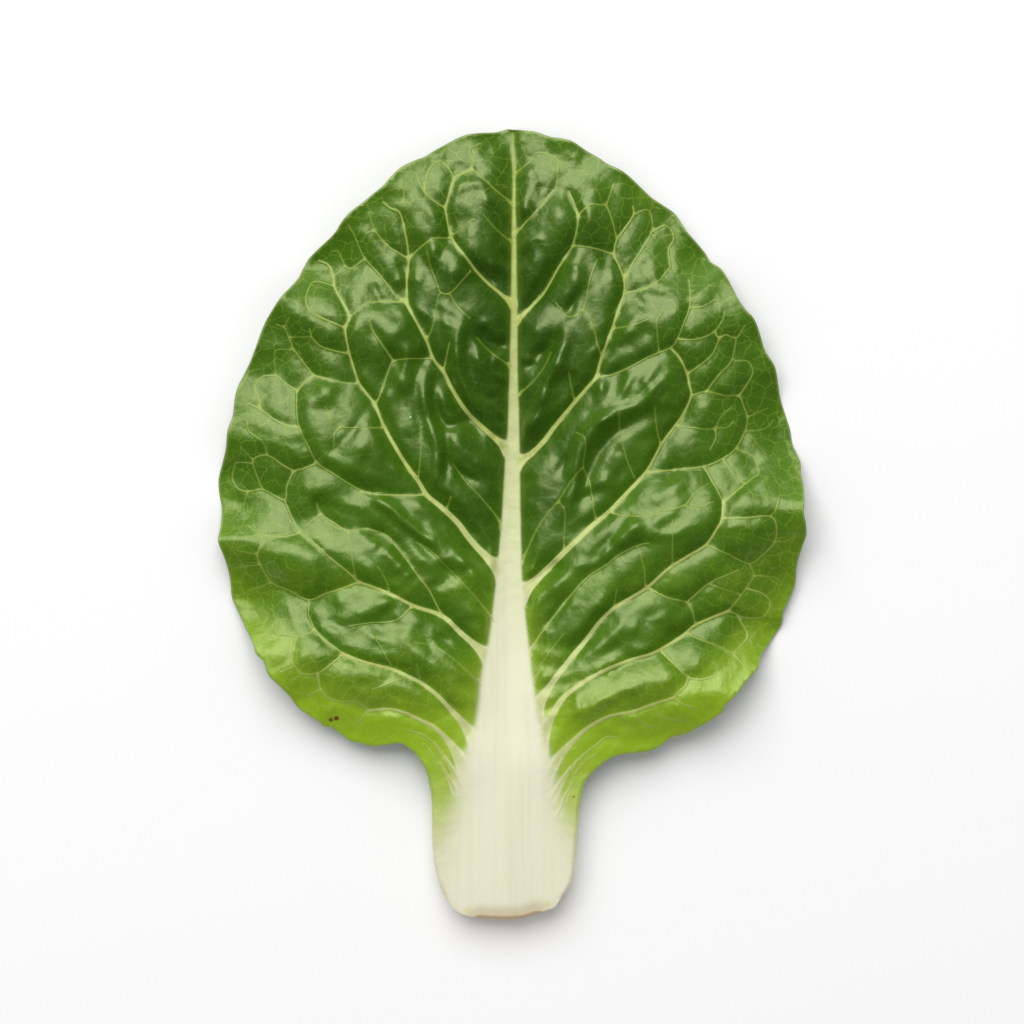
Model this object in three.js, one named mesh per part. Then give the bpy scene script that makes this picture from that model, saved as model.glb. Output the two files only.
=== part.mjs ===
// A collard green leaf, cut off with its stalk and lying on its back.
// Millimetres. +Y runs from the cut end of the stalk to the tip, +X across the blade, +Z up.
// The origin is under the middle of the leaf, on the surface that it rests on.
import * as THREE from "three";

const LENGTH = 260; // cut end to tip
const BLADE_THICKNESS = 0.8;
const STATIONS = 96; // cross lines from the cut end to the tip
const REST_LENGTH = 150; // the stretch of stalk and midrib whose back lies flat
const ARCH_LIFT = 4; // how far the midrib's back rises beyond that stretch
const ARCH_CREST = 215; // where it is highest before the tip comes down
const BACK_ROUNDING = 1.8; // 1 is a straight flank from the flat foot to the blade, more is rounder
const BLADE_DROOP = 1.3; // 1 is a straight fall from the midrib to the margin, more falls later

// Each row is one cross line: where it leaves the midrib, and the x and y where it meets the margin.
const LEFT_MARGIN = [
  [0, -8.5, 0],
  [1, -14, 0.8],
  [2.8, -18, 2.8],
  [6, -20.6, 6],
  [11, -22.8, 11],
  [18, -24.5, 18],
  [29, -25.2, 29],
  [38, -25.3, 38.5],
  [42, -26, 43.5],
  [45.5, -28.5, 50.2],
  [49, -32.3, 55.4],
  [52, -36.3, 57.7],
  [55, -42, 57.1],
  [58, -47.5, 57.1],
  [61, -54, 59.2],
  [64, -60.5, 63.4],
  [68, -67, 67.4],
  [73, -74, 75],
  [78, -79.8, 82],
  [84, -84.6, 90.8],
  [91, -89.2, 99.5],
  [98, -92.2, 108],
  [106, -94, 118.5],
  [114, -95.6, 127],
  [122, -95.6, 136],
  [129, -96.6, 143.5],
  [138, -93.7, 155],
  [148, -91.2, 167],
  [157, -88.6, 177],
  [165, -84.8, 185],
  [174, -80.7, 195.5],
  [183, -74.8, 204.6],
  [191, -69.3, 212.3],
  [198, -64.5, 219.3],
  [207, -56.5, 227.2],
  [216, -48.7, 235],
  [226, -38.5, 244.3],
  [235, -28, 250.4],
  [244, -17.5, 256.6],
  [252, -8.5, 258.5],
  [257, -3.5, 259.4],
  [LENGTH, -0.8, LENGTH],
];
const RIGHT_MARGIN = [
  [0, 7, 0.4],
  [1.2, 11.5, 2.2],
  [3, 14.5, 4.2],
  [7, 17, 8.3],
  [11, 19, 11.8],
  [17, 20.2, 17],
  [27, 21.1, 27],
  [36, 21.6, 36],
  [41, 23, 42.5],
  [44.5, 26, 47.6],
  [47.5, 30.5, 51.6],
  [50.5, 36.5, 54.2],
  [54, 44.3, 55],
  [57.5, 51, 58.5],
  [61, 58, 61.2],
  [65, 65.4, 65.6],
  [70, 71.5, 71.5],
  [75.5, 78.5, 80],
  [83, 83.7, 88.5],
  [91, 88.6, 96],
  [99, 92.8, 107],
  [108, 95, 119.5],
  [115, 96.6, 128],
  [124, 95.7, 138],
  [133, 95.2, 148],
  [143, 91.8, 161],
  [153, 88.2, 174],
  [163, 84.5, 185],
  [172, 80, 195.5],
  [182, 74.4, 203.3],
  [190, 69.5, 212.5],
  [198, 64.1, 218.8],
  [207, 56.5, 227.8],
  [216, 48.5, 235.6],
  [225, 39.7, 243],
  [234, 29, 249.8],
  [243, 18.5, 255.8],
  [251, 9, 258.4],
  [257, 3, 259.6],
  [LENGTH, 0.4, LENGTH],
];

// A smooth curve through rows of [position, value, ...], as a function of position.
function through(rows, column = 1) {
  const slope = rows.map((_, i) => {
    const a = rows[Math.max(i - 1, 0)];
    const b = rows[Math.min(i + 1, rows.length - 1)];
    return (b[column] - a[column]) / (b[0] - a[0]);
  });
  return (at) => {
    const last = rows.findIndex((row) => row[0] >= at);
    if (last === 0) return rows[0][column];
    if (last < 0) return rows.at(-1)[column];
    const [a, b] = [rows[last - 1], rows[last]];
    const span = b[0] - a[0];
    const t = (at - a[0]) / span;
    const [p, q] = [a[column], b[column]];
    const [m, n] = [slope[last - 1] * span, slope[last] * span];
    return p + t * (m + t * (3 * (q - p) - 2 * m - n + t * (2 * (p - q) + m + n)));
  };
}

// Along the midrib, from the cut end: its middle, how far its thick back reaches to each side,
// the half-width of the flat foot that it rests on, and the height of its upper face.
const ribMiddle = through([
  [0, -1.5],
  [40, -1.8],
  [80, -1.2],
  [130, 0],
  [200, 1],
  [LENGTH, 0],
]);
const ribReach = through([
  [0, 26],
  [34, 27],
  [46, 24],
  [60, 16],
  [80, 11],
  [110, 7.5],
  [150, 4.6],
  [200, 2.8],
  [LENGTH, 1],
]);
const footHalf = through([
  [0, 5],
  [40, 5],
  [100, 3.2],
  [REST_LENGTH, 1.8],
  [200, 1],
  [LENGTH, 0.3],
]);
const ribDepth = through([
  [0, 10.6],
  [35, 11.2],
  [60, 9.6],
  [90, 7],
  [130, 4.8],
  [180, 3],
  [225, 2],
  [LENGTH, 1.1],
]);

// The height of the margin's upper face: it touches the surface at each hollow of its wave.
const leftMarginHeight = through([
  [0, 9.4],
  [12, 10.4],
  [40, 10.8],
  [50, 10],
  [62, 6],
  [81, 10.5],
  [97, BLADE_THICKNESS],
  [110, 8],
  [124, BLADE_THICKNESS],
  [146, 7.5],
  [165, 2.4],
  [181, 9],
  [194, 1.8],
  [221, 6],
  [LENGTH, 1.2],
]);
const rightMarginHeight = through([
  [0, 9.4],
  [12, 10.4],
  [40, 10.8],
  [50, 9.6],
  [60, 7],
  [71, 11],
  [92, BLADE_THICKNESS],
  [122, 10],
  [137, BLADE_THICKNESS],
  [157, 4.5],
  [178, 9.5],
  [199, 1.6],
  [228, 5.5],
  [LENGTH, 1.2],
]);

// How far the blade bulges above the straight line from the midrib to the margin.
const bladeArch = through([
  [0, -0.7],
  [38, -0.6],
  [60, 3],
  [100, 6],
  [180, 5.5],
  [220, 4],
  [LENGTH, 0],
]);

const sides = [
  { x: through(LEFT_MARGIN, 1), y: through(LEFT_MARGIN, 2), height: leftMarginHeight },
  { x: through(RIGHT_MARGIN, 1), y: through(RIGHT_MARGIN, 2), height: rightMarginHeight },
];

// The midrib's back leaves the surface past the rest stretch, arches over, and comes down at the tip.
function footHeight(at) {
  if (at <= REST_LENGTH) return 0;
  const rise = THREE.MathUtils.smoothstep(at, REST_LENGTH, ARCH_CREST);
  const fall = THREE.MathUtils.smoothstep(at, ARCH_CREST, LENGTH);
  return ARCH_LIFT * (rise - fall);
}

// The two faces of the blade on one cross line, at a share of the way from midrib to margin.
function bladeAt(side, at, share) {
  const dx = (side.x(at) - ribMiddle(at)) * share;
  const ribTop = footHeight(at) + ribDepth(at);
  const straight = THREE.MathUtils.lerp(ribTop, side.height(at), share ** BLADE_DROOP);
  const top = straight + bladeArch(at) * 4 * share * (1 - share);
  const foot = footHeight(at);
  const flank = (Math.abs(dx) - footHalf(at)) / (ribReach(at) - footHalf(at));
  const rounding = THREE.MathUtils.clamp(flank, 0, 1) ** BACK_ROUNDING;
  const bottom = THREE.MathUtils.lerp(foot, Math.max(top - BLADE_THICKNESS, 0), rounding);
  const x = ribMiddle(at) + dx;
  const y = at + (side.y(at) - at) * share - LENGTH / 2;
  return { top: new THREE.Vector3(x, y, top), bottom: new THREE.Vector3(x, y, bottom) };
}

// The shares of one cross line where it gets a vertex, from the midrib outwards.
const RIB_TOP_SHARES = [0.5, 1]; // of the midrib's reach
const RIB_BACK_SHARES = [0.7, 1];
const BLADE_SHARES = [0.12, 0.3, 0.5, 0.7, 0.86, 1]; // of the way from the midrib's reach to the margin
const WIDEST_RIB_SHARE = 0.6; // of the cross line
const WIDEST_FOOT_SHARE = 0.45; // of the midrib's reach

function sharesOf(side, at) {
  const width = Math.abs(side.x(at) - ribMiddle(at));
  const rib = Math.min(ribReach(at) / width, WIDEST_RIB_SHARE);
  const foot = Math.min(footHalf(at) / width, rib * WIDEST_FOOT_SHARE);
  const ribTop = RIB_TOP_SHARES.map((share) => share * rib);
  const ribBack = RIB_BACK_SHARES.map((share) => share * rib);
  const outer = BLADE_SHARES.map((share) => THREE.MathUtils.lerp(rib, 1, share));
  return { top: [...ribTop, ...outer], bottom: [foot, ...ribBack, ...outer] };
}

// One closed ring of vertices round the leaf: over the top from left to right, and back underneath.
function ringAt(at) {
  const [left, right] = sides;
  const [leftShares, rightShares] = sides.map((side) => sharesOf(side, at));
  return [
    ...leftShares.top.toReversed().map((share) => bladeAt(left, at, share).top),
    bladeAt(left, at, 0).top,
    ...rightShares.top.map((share) => bladeAt(right, at, share).top),
    ...rightShares.bottom.toReversed().map((share) => bladeAt(right, at, share).bottom),
    ...leftShares.bottom.map((share) => bladeAt(left, at, share).bottom),
  ];
}

// Stations are evenly spaced along the margin, so that the shoulders get their share of them.
function stationPositions() {
  const margin = LEFT_MARGIN.map(([at, x, y]) => new THREE.Vector3(x, y, at));
  const walk = new THREE.CatmullRomCurve3(margin, false, "centripetal");
  return walk.getSpacedPoints(STATIONS - 1).map((point) => THREE.MathUtils.clamp(point.z, 0, LENGTH));
}

function leafGeometry() {
  const rings = stationPositions().map(ringAt);
  const around = rings[0].length;
  const positions = rings.flat().flatMap((point) => point.toArray());
  const index = [];
  for (let ring = 0; ring < rings.length - 1; ring++) {
    for (let k = 0; k < around; k++) {
      const a = ring * around + k;
      const b = ring * around + ((k + 1) % around);
      index.push(a, b, a + around, b, b + around, a + around);
    }
  }
  // The cut face and the tip are closed by a strip that runs between the upper and lower faces.
  const closeRing = (first, facesOut) => {
    const upper = (around - 1) / 2;
    for (let k = 0; k < upper; k++) {
      const [a, b] = [first + k, first + k + 1];
      const [c, d] = [first + around - 1 - k, first + around - 2 - k];
      const quad = [a, c, b, b, c, d].filter((_, i) => i < 3 || b !== d);
      index.push(...(facesOut ? quad : quad.toReversed()));
    }
  };
  closeRing(0, true);
  closeRing((rings.length - 1) * around, false);
  const geometry = new THREE.BufferGeometry();
  geometry.setAttribute("position", new THREE.Float32BufferAttribute(positions, 3));
  geometry.setIndex(index);
  geometry.computeVertexNormals();
  return geometry;
}

const leafSkin = new THREE.MeshStandardMaterial({ color: 0x4a7519, roughness: 0.5, metalness: 0 });

const leaf = new THREE.Mesh(leafGeometry(), leafSkin);
leaf.name = "collard_leaf";

const part = new THREE.Group();
part.add(leaf);

export default part;
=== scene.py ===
"""A collard green leaf on a pale floor: a quilted, waxy blade, its veins and a thick cream stalk."""

import copy
from types import SimpleNamespace

import bpy
import numpy as np
from mathutils import Euler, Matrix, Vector
from mathutils.bvhtree import BVHTree
from mathutils.geometry import delaunay_2d_cdt


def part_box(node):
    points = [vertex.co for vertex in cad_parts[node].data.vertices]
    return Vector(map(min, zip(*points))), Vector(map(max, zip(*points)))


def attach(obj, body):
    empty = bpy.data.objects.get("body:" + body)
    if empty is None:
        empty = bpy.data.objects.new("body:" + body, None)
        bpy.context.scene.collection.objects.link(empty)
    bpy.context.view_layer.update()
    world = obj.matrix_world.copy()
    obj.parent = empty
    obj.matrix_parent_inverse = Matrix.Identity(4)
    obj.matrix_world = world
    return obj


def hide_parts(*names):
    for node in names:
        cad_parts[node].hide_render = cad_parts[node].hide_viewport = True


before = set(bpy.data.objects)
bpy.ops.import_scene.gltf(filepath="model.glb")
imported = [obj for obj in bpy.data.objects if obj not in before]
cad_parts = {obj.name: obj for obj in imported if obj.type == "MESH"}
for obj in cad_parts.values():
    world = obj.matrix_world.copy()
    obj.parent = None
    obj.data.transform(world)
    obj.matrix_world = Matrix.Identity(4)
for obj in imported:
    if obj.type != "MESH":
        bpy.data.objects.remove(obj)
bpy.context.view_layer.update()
LEAF_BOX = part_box("collard_leaf")

bl_info = {
    "name": "Collard Leaf",
    "version": (1, 0, 0),
    "blender": (4, 5, 0),
    "location": "3D View > Sidebar > Collard Leaf",
    "description": "Builds a detached collard green leaf, its cut stalk, a floor, a light and a camera",
    "category": "Add Mesh",
}

# ---------------------------------------------------------------------------------------------
# The leaf's plan. Lengths here are leaf millimetres: x across from the middle of the cut end,
# y from the cut end to the tip.

LEAF_LENGTH = 260.0
MM = (LEAF_BOX[1].y - LEAF_BOX[0].y) / LEAF_LENGTH  # one leaf millimetre in the frame's metres
ORIGIN = np.array([0.0, LEAF_BOX[0].y])  # the middle of the cut end in the frame

MARGIN_LEFT = [
    (-8, 0), (-13, 0.6), (-17.5, 2.3), (-20.3, 5.5), (-22.8, 11), (-24.5, 18), (-25, 23), (-25.2, 30),
    (-25.3, 38), (-25.9, 43), (-27.5, 48.4), (-30.2, 53.1), (-33.6, 56.4), (-36.3, 57.8), (-39.6, 57.6),
    (-43, 57), (-46.3, 56.8), (-49.7, 57.8), (-53, 58.5), (-57, 61.5), (-59, 62.9), (-62, 63.4),
    (-62.4, 64.5), (-66, 66.7), (-70, 69.6), (-72.4, 73.1), (-75.6, 76.7), (-79.3, 80.4), (-80.8, 84.7),
    (-83.3, 87.1), (-84.6, 90.8), (-87.2, 95.3), (-89.7, 100.4), (-92, 105.5), (-92.3, 109.4),
    (-92.9, 113.8), (-94.2, 119), (-95.9, 124), (-95.4, 128.6), (-95.4, 134.6), (-96.2, 139),
    (-96.6, 143), (-96.2, 146.2), (-95, 150), (-93.6, 155), (-93, 160.3), (-91.3, 165.4), (-90.7, 171),
    (-89.7, 175), (-87.8, 178.8), (-85.6, 183.3), (-83.7, 187.8), (-82.1, 192.3), (-80.2, 196.5),
    (-78.2, 199.6), (-75.6, 203.5), (-72.4, 207.3), (-70, 210.5), (-68.6, 213.7), (-66.7, 217),
    (-64, 219.8), (-61, 222.4), (-57.7, 225.3), (-55.4, 228.8), (-52.6, 232), (-48.7, 235), (-45, 238),
    (-42, 240.3), (-39, 243.8), (-36, 246.7), (-32, 248.8), (-28.2, 250.3), (-25, 252.5), (-21.2, 254.7),
    (-17.3, 256.7), (-14, 257.8), (-10.3, 258.3), (-5, 258.8), (-1.3, 259.9),
]
MARGIN_RIGHT = [
    (-8, 0), (-4, -0.1), (0, -0.1), (4, 0.2), (7, 1.2), (9.4, 2), (13, 3.3), (14.5, 4), (17.4, 8.8),
    (19, 11.5), (20.1, 16), (20.8, 24), (21.3, 30), (21.6, 35.6), (22.8, 42.3), (24.8, 46.4),
    (28.2, 49.7), (32.9, 53.1), (37.6, 54.4), (41, 54.7), (44.3, 55), (47.7, 56.1), (53, 59.8),
    (55.8, 60.4), (57.7, 61), (61.5, 63.2), (65.4, 65.4), (69.1, 68.3), (69.9, 70.3), (73.7, 74.1),
    (76.9, 78.3), (80.4, 81.8), (82.1, 86.3), (85.9, 91.4), (89.2, 96.5), (89.7, 100.4), (91.7, 104.9),
    (93.6, 110), (93.9, 115.8), (95.5, 122.2), (96.6, 126), (96.2, 129.9), (95.5, 133), (95.6, 136),
    (95.8, 141.7), (95.2, 146.2), (95.2, 150), (92.9, 155.8), (92, 160.9), (90.4, 166), (88.8, 171.2),
    (87.8, 176.3), (86.5, 181.4), (83.3, 186.5), (81.4, 192.3), (79.5, 196.8), (76.9, 199.6),
    (74.4, 203.1), (72.4, 207.3), (70.5, 211.2), (68.6, 214), (65.7, 216), (64.1, 218.8), (61, 222.4),
    (57.7, 226), (55.8, 229), (53.8, 232), (50, 234.6), (46.2, 237), (43.6, 239.4), (39.7, 243),
    (36, 245.8), (31.4, 248), (28.8, 249.9), (24.4, 252.5), (20.5, 255.1), (17.3, 256.2), (12.8, 257),
    (8.3, 258.7), (3.8, 259.4),
]

# The midrib: distance from the cut end, middle, and the half-width of its pale upper face.
MIDRIB = [
    (56, -1.4, 12.3), (60, -1, 11), (70, -1.3, 9.3), (80, -1.5, 8.2), (90, -0.9, 6.5), (100, -0.8, 5.3),
    (110, -0.7, 4.2), (130, 0, 3.1), (150, 0.4, 2.4), (160, 0.8, 1.9), (180, 0.8, 1.3), (200, 1, 1),
    (225, 0.9, 0.7), (245, 0.9, 0.5), (258, 0.6, 0.25),
]

# Side veins: half-width where each leaves its parent, half-width at its end, and its route.
SIDE_VEINS_LEFT = [
    (1.3, 0.42, [(-12.8, 60), (-16, 64.5), (-20.5, 69.6), (-24.4, 73.8), (-29.5, 77.6), (-33.3, 79.6),
                (-38.5, 82), (-43.6, 83.4), (-48.7, 84.7), (-55, 87.1)]),
    (1.5, 0.42, [(-15.3, 49.4), (-17.5, 53.9), (-20.6, 58.4), (-25, 62.9), (-29.6, 65.3), (-35.3, 68),
                (-40.4, 69), (-46.9, 68.4)]),
    (0.9, 0.17, [(-17.5, 45.4), (-19.3, 49), (-22, 53.4), (-25.1, 57.5), (-29.2, 60.6), (-33.2, 61.7)]),
    (0.5, 0.14, [(-19.7, 44.5), (-21.5, 48), (-25, 53), (-28.7, 57.5)]),
    (1.5, 0.42, [(-7.7, 86), (-12.2, 90.1), (-17.3, 94.6), (-21.2, 98.5), (-25.6, 100.7), (-31.4, 102.6),
                (-37.8, 105.8), (-43.6, 108.4), (-50, 110.6)]),
    (1.5, 0.24, [(-3.8, 114.5), (-6.4, 117), (-10.3, 121), (-14.1, 125.4), (-17.6, 130.1), (-23.1, 135.3),
                 (-27.6, 139.1), (-30.4, 143.6), (-34.6, 149.4), (-38.5, 155.8), (-41.7, 161.5),
                 (-44.6, 168.6), (-47.4, 172.4), (-50, 176), (-51.9, 181.4), (-53.2, 186.2), (-54, 190.4),
                 (-54.4, 193.9), (-53, 197.5), (-55, 202), (-57, 205.4), (-58.2, 208), (-58.7, 211.2),
                 (-60.4, 215.1), (-63.5, 216.6)]),
    (1.1, 0.24, [(-2.2, 155), (-5.1, 157.7), (-10.3, 162.2), (-14.1, 166), (-17.3, 170.5), (-19.9, 175),
                (-22.1, 179.5), (-25.6, 184), (-27.6, 189.4), (-30.5, 195), (-32.7, 199), (-34.2, 202.3),
                (-34.3, 207.3), (-34.1, 212.4), (-33.7, 216.6), (-34, 220.8), (-35, 226), (-36.5, 231.7),
                (-39.7, 233.3), (-42, 235.2)]),
    (0.7, 0.24, [(0, 202.5), (-3.8, 205.7), (-7.7, 209), (-11.5, 212.8), (-14.7, 217), (-17.3, 220),
                (-19.6, 223.7), (-20.5, 227.2), (-21.2, 231), (-21.5, 233.6), (-20.2, 238), (-18.7, 243),
                (-16.7, 244.8), (-13.1, 246.3)]),
]
SIDE_VEINS_RIGHT = [
    (1.3, 0.38, [(11.7, 46.7), (13.9, 50.7), (17, 54.8), (20.6, 58.8), (25.3, 63), (32.1, 66.7),
                (39.7, 68.3), (46.2, 70.6), (53.2, 72.8)]),
    (0.8, 0.17, [(14.8, 42.2), (17.5, 46.7), (20.6, 50.7), (24.2, 54.3), (27.8, 57), (31.4, 59.7),
                 (35, 59.3)]),
    (0.5, 0.14, [(16.6, 36.8), (18.8, 41.8), (21.1, 47.2), (23.8, 51.2), (27.8, 54)]),
    (1.4, 0.38, [(9.6, 54), (10.9, 60.5), (13.1, 66.3), (16.1, 71.4), (20.5, 75.8), (25.6, 79),
                (32.1, 82.4), (39.7, 85.3), (46.2, 87.2), (51.3, 89.8), (56.4, 93), (60.3, 96.2),
                (66, 98.8), (71.5, 101)]),
    (1.4, 0.38, [(8.5, 66), (9.6, 71), (12.8, 76.3), (16.7, 81.8), (20.5, 86.6), (25, 92.1), (28.8, 97.2),
                (33.3, 101.7), (38.5, 105), (44.9, 109), (51.3, 114.8), (57.7, 119), (63.8, 122.8),
                (67.3, 128), (69.1, 131.3), (69.6, 137)]),
    (1.5, 0.3, [(5.1, 108), (10.9, 113.8), (16.7, 119.6), (22.4, 125.1), (27.6, 130), (32.7, 134.3),
                (37.8, 139.7), (44.2, 146.5), (47.4, 152), (49.4, 155.8), (53.2, 161), (56.4, 165.4),
                (59.1, 171.6), (58.5, 175.6), (57.7, 179.2), (55.1, 184.3), (52.2, 187.4)]),
    (1.1, 0.24, [(2.9, 150.3), (6.4, 152.6), (10.3, 156.4), (14.7, 162.2), (20.5, 169.2), (25, 174.4),
                (27.9, 177.9), (29.2, 182.7), (30.8, 187.2), (33.3, 194.2), (35.6, 201), (37.1, 205.4),
                (37.2, 209.6), (35.6, 214.4), (34, 218.2), (34.6, 222.7), (37.2, 226.5), (40.3, 231.3),
                (40.1, 234.2)]),
    (0.6, 0.2, [(2.6, 197), (6.4, 201), (10.3, 205.1), (12.8, 209), (15.4, 213.7), (18.6, 218.5),
                 (20.2, 221.1), (21.5, 226), (21.9, 230.7), (20.8, 234.2), (18.9, 238.7)]),
]

# Branches: routes only. They are thinner than the side veins and join them in loops.
BRANCH_HALF_WIDTH = (0.22, 0.13)
BRANCHES = [
    [(-55, 87.2), (-60.3, 91), (-64.4, 95), (-65.4, 97), (-66.7, 100.4), (-66.5, 104.7)],
    [(-55, 87), (-59, 83.7), (-63.3, 80.8), (-68.3, 80.6), (-70.8, 83.1), (-72.4, 85.6), (-71.8, 88.2),
     (-70.5, 93)],
    [(-63.3, 80.8), (-62.9, 77.3), (-62.2, 75.4), (-59.6, 72.5), (-55, 71.2), (-52, 71.5), (-49.4, 70.6),
     (-46.9, 68.4)],
    [(-46.9, 68.4), (-48.7, 65.8), (-51, 63.8)],
    [(-50, 110.6), (-53.8, 114.2), (-59, 118.3), (-64, 122.8), (-69.2, 127), (-71.8, 131), (-74.7, 137.5)],
    [(-50, 110.6), (-55, 108.6), (-60.3, 107), (-66.5, 104.7), (-73, 107.8), (-78.8, 110.3),
     (-82.4, 116.4), (-83.2, 119.6), (-81.7, 123.5), (-80.8, 125.6), (-74.4, 125.7), (-69.2, 127)],
    [(-23, 100.4), (-24.4, 103), (-26.9, 108), (-30.8, 113.2), (-35.3, 119.6), (-39.7, 124.7),
     (-42.3, 126.5), (-47.4, 128), (-53.5, 127.3), (-57.7, 129.6), (-62.5, 132.8), (-63.8, 136.5)],
    [(-28.5, 139.2), (-36, 139), (-43.6, 139.4), (-48.7, 140.4), (-55, 144), (-60.3, 147.4),
     (-63.6, 149.7), (-66.7, 155.4), (-69.6, 161.2), (-70.4, 166), (-70.6, 170.5), (-70.5, 173.4)],
    [(-63.6, 149.7), (-67.9, 147.9), (-71.2, 146.9), (-73.7, 142.3), (-74.7, 137.5), (-81.7, 140.9),
     (-86.9, 140.3), (-90.4, 141.3), (-92.2, 144.6), (-91.3, 148.7), (-90.4, 150), (-85.3, 149.6)],
    [(-71.2, 146.9), (-75, 149), (-80.1, 152.2), (-84.9, 150.6), (-83.3, 144.2), (-81.7, 140.9)],
    [(-69.6, 161.2), (-74.4, 162.2), (-78.2, 164.1), (-82.4, 167.2), (-86.2, 169)],
    [(-82.4, 167.2), (-83.2, 171.2), (-84.3, 175), (-81.7, 178.1), (-77.4, 178.2), (-74, 175.6),
     (-70.5, 173.4)],
    [(-70.5, 173.4), (-67.9, 176.3), (-65.4, 178.5), (-68.6, 183), (-71.5, 187.2), (-73.1, 191),
     (-74.4, 194), (-77.2, 195.2)],
    [(-65.4, 178.5), (-60.3, 177.2), (-55, 176), (-50, 175.5)],
    [(-53.2, 185.5), (-57.7, 186.4), (-62.2, 187.8), (-65.1, 190.4), (-66, 193.6)],
    [(-54.4, 193.9), (-59, 195.8), (-64.7, 198.4), (-66.7, 201.5), (-67.2, 204.4), (-66.3, 207.6),
     (-64.7, 209.7), (-60.9, 209), (-58.2, 208)],
    [(-44.6, 168.6), (-42.9, 172.4), (-40.4, 179.5), (-38.5, 183), (-34, 183.7), (-26.6, 184)],
    [(-38.5, 183), (-42.3, 188.5), (-45, 192.3), (-46.5, 196.2)],
    [(-34.2, 202.5), (-40.4, 202.8), (-47.4, 202), (-53, 197.6)],
    [(-34.5, 203), (-37.8, 204.7), (-40.4, 208), (-43.6, 211.8), (-48.1, 217), (-49.7, 220),
     (-52, 225.5), (-53.5, 227.8)],
    [(-48.1, 217), (-52.6, 213.9), (-54.8, 214.7), (-56.9, 219.5), (-59, 219.4)],
    [(-33.7, 216.6), (-37.2, 218.8), (-40.4, 220.8), (-44.6, 226), (-46.9, 232)],
    [(-33.7, 216.6), (-30.8, 219.5), (-27.6, 222), (-25, 223.3), (-19.9, 223.5)],
    [(-22.1, 180), (-21.5, 183.3), (-20.2, 189)],
    [(-35.6, 235), (-35.1, 237.4), (-35.7, 241.3)],
    [(-21.5, 233.6), (-23.7, 234.6), (-28.2, 238.7), (-31.1, 244.5)],
    [(-28.2, 239), (-27.9, 242.6), (-26.3, 247), (-23.1, 249), (-20.5, 247), (-18.7, 243)],
    [(-13.1, 246.3), (-12.9, 250.3), (-13.5, 253.1), (-9.9, 255.1)],
    [(0.3, 235.3), (-5.1, 239.4), (-9, 243), (-13.1, 246.3)],
    [(44.9, 146.6), (53.2, 147.4), (63.5, 148.6), (69.9, 151.3), (74, 154.5), (77.2, 160.3),
     (77.9, 164.7), (76.6, 168.6), (75, 171.8), (70.5, 171.8), (64.1, 173.1), (59.3, 171.7)],
    [(63.5, 148.6), (65.4, 145), (67.6, 141), (69.6, 137)],
    [(69.6, 137), (73.1, 140), (79.5, 145), (81.4, 146.2), (81.1, 149.4), (79.8, 152), (74, 154.5)],
    [(69.1, 131.4), (77, 131.7), (84.9, 132.1), (86.9, 128.6), (86.5, 123.8), (82.7, 119.6),
     (78.2, 116.6), (70.5, 120), (64, 122.7)],
    [(71.5, 101), (75, 105.2), (77.6, 109), (79.8, 112.6), (78.2, 116.6)],
    [(77.6, 108.4), (82.7, 106.8), (85.3, 104.2), (84.9, 101), (82.4, 98.6), (77, 98.8), (71.8, 101)],
    [(74.7, 99.1), (76.6, 96), (78.2, 92.7), (75.6, 89.5), (72.8, 87.4), (68, 89.5), (63.1, 91.4),
     (58.7, 93.5)],
    [(49.5, 87.8), (53.8, 83.7), (58, 79.6), (61.5, 78.6), (66.7, 79.6)],
    [(58, 79.6), (57.1, 76.7), (53.5, 73.1), (56.4, 70.6), (60.3, 69.3)],
    [(45.2, 108.4), (51.3, 105.5), (57.7, 103.9), (59.6, 101), (60.6, 96.5)],
    [(57.7, 103.9), (64.7, 110), (69.2, 112.2), (74.7, 114.5)],
    [(28, 177.9), (32.7, 178.5), (39.7, 181.4), (44.9, 184.3), (52.2, 187.4), (54.5, 190.4),
     (56.4, 195), (58.5, 200.3), (58.8, 205.4), (58.5, 210)],
    [(37.2, 209.8), (39.1, 213.7), (42.3, 218.8), (45.2, 223.3), (46.3, 226), (46.6, 229),
     (45.8, 232.6), (43.6, 233), (40.3, 231.3)],
    [(46.3, 225.8), (50.6, 228.1), (53.2, 226.2), (53.7, 223.3), (52, 220), (52.4, 214.5)],
    [(37.1, 205.3), (41.7, 206.3), (47.4, 208.6), (52.5, 214)],
    [(34, 218.2), (28.8, 219.8), (25.6, 220.4), (20.2, 221.1)],
    [(55.4, 190.1), (59, 190), (62.8, 190.7), (66.7, 192.8), (69.2, 196.2), (70.2, 199.4)],
    [(66.7, 192.8), (68.3, 190.4), (70.2, 191.7), (74, 190.8), (76.6, 194.6)],
    [(57.9, 179), (61.5, 181.4), (66, 185.3), (68.3, 190.4)],
    [(64.1, 173.1), (67.9, 178.2), (72.1, 182.7), (73.4, 187.2), (74, 190.7)],
    [(75, 171.8), (77.6, 175.6), (79.5, 179.5), (77.9, 183), (73.7, 183.2)],
    [(21.9, 230.7), (24.4, 233.3), (26.3, 234.4), (31.1, 234.6), (32.1, 236.8), (34, 241.3)],
    [(31.1, 234.6), (32.7, 231), (34, 226.5), (34.6, 223.3)],
    [(1.3, 225), (4.5, 228.5), (8.3, 232.3), (13.5, 238.7), (14.7, 239.7), (15.3, 243.8), (15.4, 249),
     (12.5, 251), (8.7, 251.9), (5.1, 248.3), (1.4, 245.1)],
    [(6.4, 87), (9.6, 93.3), (15.4, 101), (20.5, 107.4), (25.6, 112.6), (31.4, 116.4), (36, 120),
     (42, 122.8), (45, 123.3)],
]

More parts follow.
